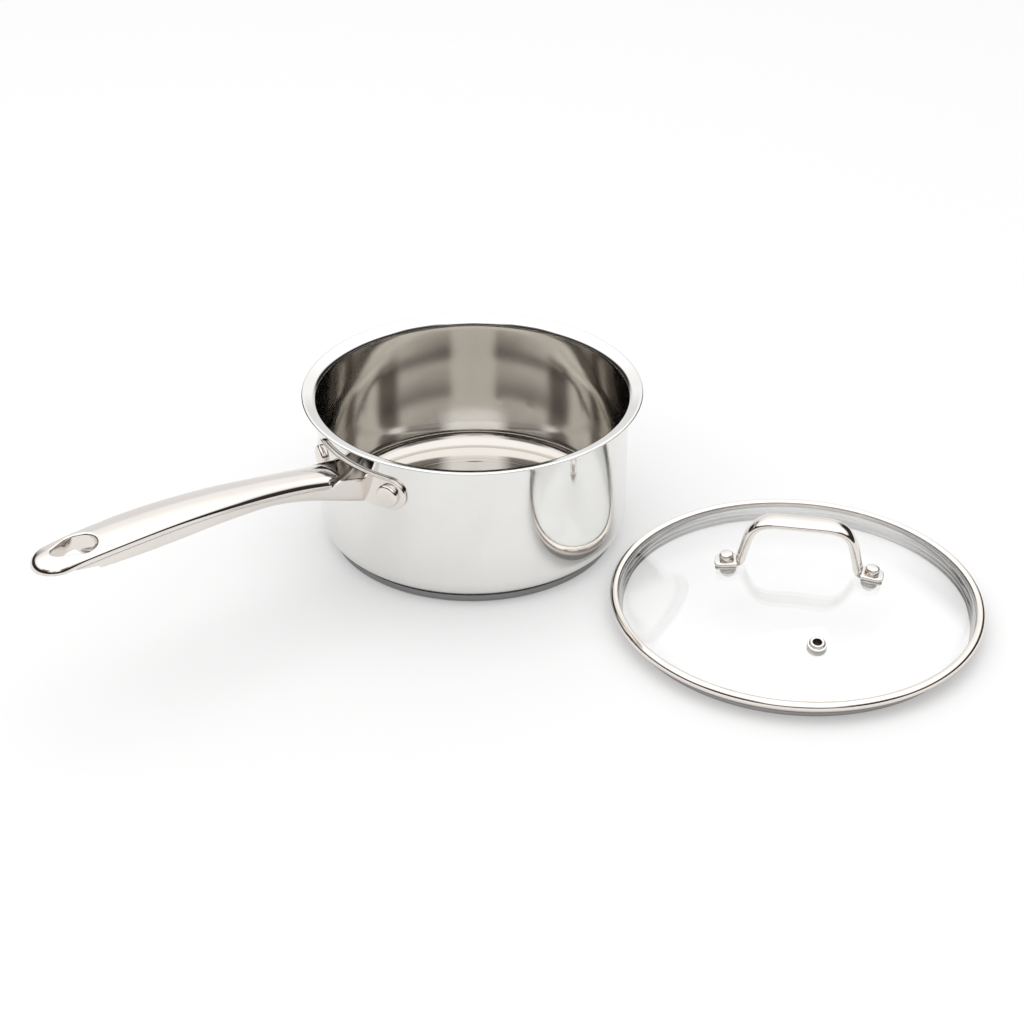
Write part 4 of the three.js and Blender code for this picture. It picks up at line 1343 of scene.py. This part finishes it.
class SAUCEPAN_OT_lid_fixings(bpy.types.Operator):
    """Lid fixings: screws, cap nuts, washers and pads at both feet of the lid handle"""
    bl_idname = "saucepan.lid_fixings"
    bl_label = "Lid fixings"

    def execute(self, context):
        _, _, lid, _ = sizes()
        where = dict(on_dome(lid, lid.screw_reach, count=2), **{"Turn Between": math.pi})
        place = lid_place(lid)
        screw = joined(
            [(0, -6.1), (1.6, -6.1), (2, -5.8), (2, 3.6), (3.3, 3.6)],
            bend((3.45, 3.62), (3.6, 3.7), (3.62, 4.0), 3),
            [(3.6, 5.6)],
            bend((3.58, 5.8), (3.5, 6.95), (2.4, 7.15), 8),
            [(1.3, 7.27), (0, 7.3)],
        )
        nut = joined(
            bend((0, -7.5), (2.6, -7.45), (3.0, -6.6), 8),
            [(3.2, -6.3), (3.2, -5.45), (3.05, -5.3), (2.3, -5.3), (2.3, -6.5), (0, -6.5)],
        )
        soft = [(2.3, -4.1), (3.9, -4.1), (4.12, -4.0), (4.2, -3.8), (4.2, -3.5), (4.1, -3.2),
                (3.9, -3.1), (2.3, -3.1)]
        flat = [(2.3, -5.0), (3.9, -5.0), (4.0, -4.9), (4.0, -4.5), (3.9, -4.4), (2.3, -4.4)]
        bright, satin = steel("polished_fittings_steel"), steel("satin_fittings_steel")
        for name, outline, material, slot, nodes, closed in (
                ("lid_screws", screw, bright, "polished_steel", "lid_screw", False),
                ("lid_cap_nuts", nut, bright, "polished_steel", "lid_cap_nut", False),
                ("lid_silicone_washers", soft, seal_silicone(), "seal_silicone", "lid_silicone_washer", True),
                ("lid_steel_washers", flat, satin, "satin_base_steel", "lid_steel_washer", True)):
            obj = spun(name, outline, material, closed=closed, steps=48, place=place, **where)
            hand_over(obj, "lid", slot, nodes + "_a", nodes + "_b")
        outline = []
        for cx, cy, start in ((4.4, 3.2, 0), (-3.6, 3.2, 90), (-3.6, -3.2, 180), (4.4, -3.2, 270)):
            outline += arc((cx, cy), 1.4, start, start + 90, 8)
        loops = [[(x * s, y * s, z) for x, y in outline]
                 for s, z in ((0.97, 0.1), (1.0, 0.3), (1.0, 1.25), (0.97, 1.5))]
        pads = lofted("lid_foot_pads", loops)
        run_tree(pads, copies_tree(), dict(where, Material=steel("satin_fittings_steel")))
        pads.data.transform(place)
        tidy_normals(pads)
        shade(pads)
        hand_over(pads, "lid", "satin_base_steel", "lid_foot_pad_a", "lid_foot_pad_b")
        return {"FINISHED"}


class SAUCEPAN_OT_vent(bpy.types.Operator):
    """Steam vent: a flanged eyelet through the glass and its washer"""
    bl_idname = "saucepan.vent"
    bl_label = "Steam vent"

    def execute(self, context):
        _, _, lid, _ = sizes()
        where = on_dome(lid, lid.vent_reach, lid.vent_turn)
        place = lid_place(lid)
        eyelet = joined(
            [(2.0, -4.7), (2.1, -4.8), (3.5, -4.8), (3.7, -4.6), (3.65, -4.3), (2.6, -4.25), (2.6, 0.1),
             (4.6, 0.1), (4.8, 0.3), (4.75, 0.6)],
            bend((4.6, 0.8), (3.9, 0.95), (3.75, 1.2), 6),
            bend((3.68, 1.5), (3.6, 2.4), (2.95, 2.45), 8),
            bend((2.75, 2.45), (2.05, 2.4), (2.0, 1.6), 8),
        )
        obj = spun("vent_eyelet_skin", eyelet, steel("polished_fittings_steel"), closed=True, steps=64,
                   place=place, **where)
        obj.data.materials.append(steel("dull_bore_steel"))
        tilt = where["Tilt"]
        axis = Vector((math.sin(tilt), 0.0, math.cos(tilt)))
        middle = Vector((where["Reach"], 0.0, where["Height"]))
        turned = Matrix.Rotation(lid.vent_turn, 4, "Z")
        axis = (place.to_3x3() @ turned.to_3x3()) @ axis
        middle = place @ (turned @ middle)
        # Faces of the bore take the near-black steel, painted shade inside the tube.
        for face in obj.data.polygons:
            away = face.center - middle
            if (away - axis * away.dot(axis)).length < 0.0021:
                face.material_index = 1
        hand_over(obj, "lid", "polished_steel", "vent_eyelet")
        washer = [(2.9, -3.9), (4.6, -3.9), (4.8, -3.75), (4.8, -3.3), (4.6, -3.1), (2.9, -3.1)]
        obj = spun("vent_washer_skin", washer, seal_silicone(), closed=True, steps=48, place=place, **where)
        hand_over(obj, "lid", "seal_silicone", "vent_washer")
        return {"FINISHED"}


def facing(tree, level, toward):
    """How far a level direction points toward another."""
    return vector(tree, "DOT_PRODUCT", level, toward, output="Value")


def studio_world():
    """A white sweep behind, dark low flags on the other sides and a darker room in front."""
    world = bpy.data.worlds.new("studio_world")
    world.use_nodes = True
    tree = world.node_tree
    tree.nodes.clear()
    direction = put(tree, "ShaderNodeTexCoord").outputs["Generated"]
    height = height_of(tree, direction)
    level = vector(tree, "NORMALIZE", vector(tree, "MULTIPLY", direction, LEVEL))
    back = facing(tree, level, (0.6756, 0.7373, 0.0))
    side = maths(tree, "ABSOLUTE", facing(tree, level, (0.7373, -0.6756, 0.0)))

    flag_top = ramp(tree, side, 0.35, 0.62, 0.36, 0.455)
    low = ramp(tree, maths(tree, "SUBTRACT", height, flag_top), -0.05, 0.05, 1.0, 0.0)
    flags = maths(tree, "MULTIPLY", ramp(tree, back, 0.84, 0.93, 1.0, 0.22), low)
    opening = vector(tree, "DISTANCE", vector(tree, "MULTIPLY", direction, (1.0, 1.0, 3.6)),
                     (-0.5886, -0.6423, 1.53), output="Value")
    dark = maths(tree, "MAXIMUM", flags, ramp(tree, opening, 0.09, 0.12, 1.0, 0.0))
    front = maths(tree, "MULTIPLY", ramp(tree, back, -0.58, -0.40, 0.80, 0.0),
                  ramp(tree, height, 0.60, 0.70, 1.0, 0.0))
    front = maths(tree, "MULTIPLY", front, ramp(tree, back, -0.95, -0.87))

    tone = (1.0, 1.0, 1.0, 1.0)
    for share, darker in ((front, (0.05, 0.03, 0.015, 1.0)), (dark, (0.03, 0.027, 0.025, 1.0))):
        tone = put(tree, "ShaderNodeMix", {"data_type": "RGBA"}, {
            "Factor": share, 6: tone, 7: darker}).outputs[2]
    sky = put(tree, "ShaderNodeBackground", {}, {
        "Color": tone, "Strength": ramp(tree, height, 0.50, 0.72, 1.14, 1.5)})
    output = tree.nodes.new("ShaderNodeOutputWorld")
    tree.links.new(sky.outputs[0], output.inputs[0])
    return world


class SAUCEPAN_OT_stage(bpy.types.Operator):
    """Stage: pale floor, soft studio light and the camera"""
    bl_idname = "saucepan.stage"
    bl_label = "Stage"

    def execute(self, context):
        scene = context.scene
        half = 30000
        corners = [(-half, -half, 0), (half, -half, 0), (half, half, 0), (-half, half, 0)]
        floor = add_object("studio_floor", corners, [], [(0, 1, 2, 3)])
        floor.data.materials.append(floor_paper())

        scene.world = studio_world()

        for name, place, size, power in (
                ("overhead_softbox", (0.1, 0.1, 1.9), 1.6, 8.0),
                ("left_softbox", (-1.4, 0.3, 1.5), 1.2, 5.0)):
            lamp = bpy.data.lights.new(name, "AREA")
            lamp.shape = "SQUARE"
            lamp.size = size
            lamp.energy = power
            obj = bpy.data.objects.new(name, lamp)
            obj.location = place
            obj.visible_glossy = False
            aim = Vector((0, -0.08, 0.03)) - Vector(place)
            obj.rotation_euler = aim.to_track_quat("-Z", "Y").to_euler()
            scene.collection.objects.link(obj)

        camera = bpy.data.cameras.new("camera")
        camera.sensor_fit = "HORIZONTAL"
        camera.sensor_width = 36.0
        camera.lens = 73.58
        camera.clip_start = 0.01
        camera.clip_end = 50.0
        view = bpy.data.objects.new("camera", camera)
        view.location = (-0.6284, -0.7159, 0.5930)
        view.rotation_euler = Vector((0.5756, 0.6281, -0.5236)).to_track_quat("-Z", "Y").to_euler()
        scene.collection.objects.link(view)
        scene.camera = view
        scene.view_settings.view_transform = "Standard"
        scene.view_settings.look = "None"
        return {"FINISHED"}


class SAUCEPAN_PT_pieces(bpy.types.Panel):
    """Lists the pieces and the settings"""
    bl_idname = "SAUCEPAN_PT_pieces"
    bl_label = "Saucepan"
    bl_space_type = "VIEW_3D"
    bl_region_type = "UI"
    bl_category = "Saucepan"

    def draw(self, context):
        layout = self.layout
        for operator in OPERATORS:
            layout.operator(operator.bl_idname)
        for group in sizes():
            box = layout.box()
            for key in group.__annotations__:
                box.prop(group, key)


GROUPS = (SaucepanPanSizes, SaucepanHandleSizes, SaucepanLidSizes, SaucepanFinishes)
OPERATORS = (
    SAUCEPAN_OT_pan_body, SAUCEPAN_OT_base, SAUCEPAN_OT_handle, SAUCEPAN_OT_bracket, SAUCEPAN_OT_rivets,
    SAUCEPAN_OT_lid_glass, SAUCEPAN_OT_lid_band, SAUCEPAN_OT_lid_handle, SAUCEPAN_OT_lid_fixings,
    SAUCEPAN_OT_vent, SAUCEPAN_OT_stage,
)
POINTERS = ("saucepan_pan", "saucepan_handle", "saucepan_lid", "saucepan_finishes")


def register():
    """Registers the settings, the operators and the panel."""
    for item in GROUPS + OPERATORS + (SAUCEPAN_PT_pieces,):
        bpy.utils.register_class(item)
    for pointer, group in zip(POINTERS, GROUPS):
        setattr(bpy.types.Scene, pointer, bpy.props.PointerProperty(type=group))


def unregister():
    """Takes everything that register added away again."""
    for pointer in POINTERS:
        delattr(bpy.types.Scene, pointer)
    for item in reversed(GROUPS + OPERATORS + (SAUCEPAN_PT_pieces,)):
        bpy.utils.unregister_class(item)


def main():
    """Builds every piece and the stage."""
    register()
    for operator in OPERATORS:
        group, name = operator.bl_idname.split(".")
        getattr(getattr(bpy.ops, group), name)()


if __name__ == "__main__":
    main()
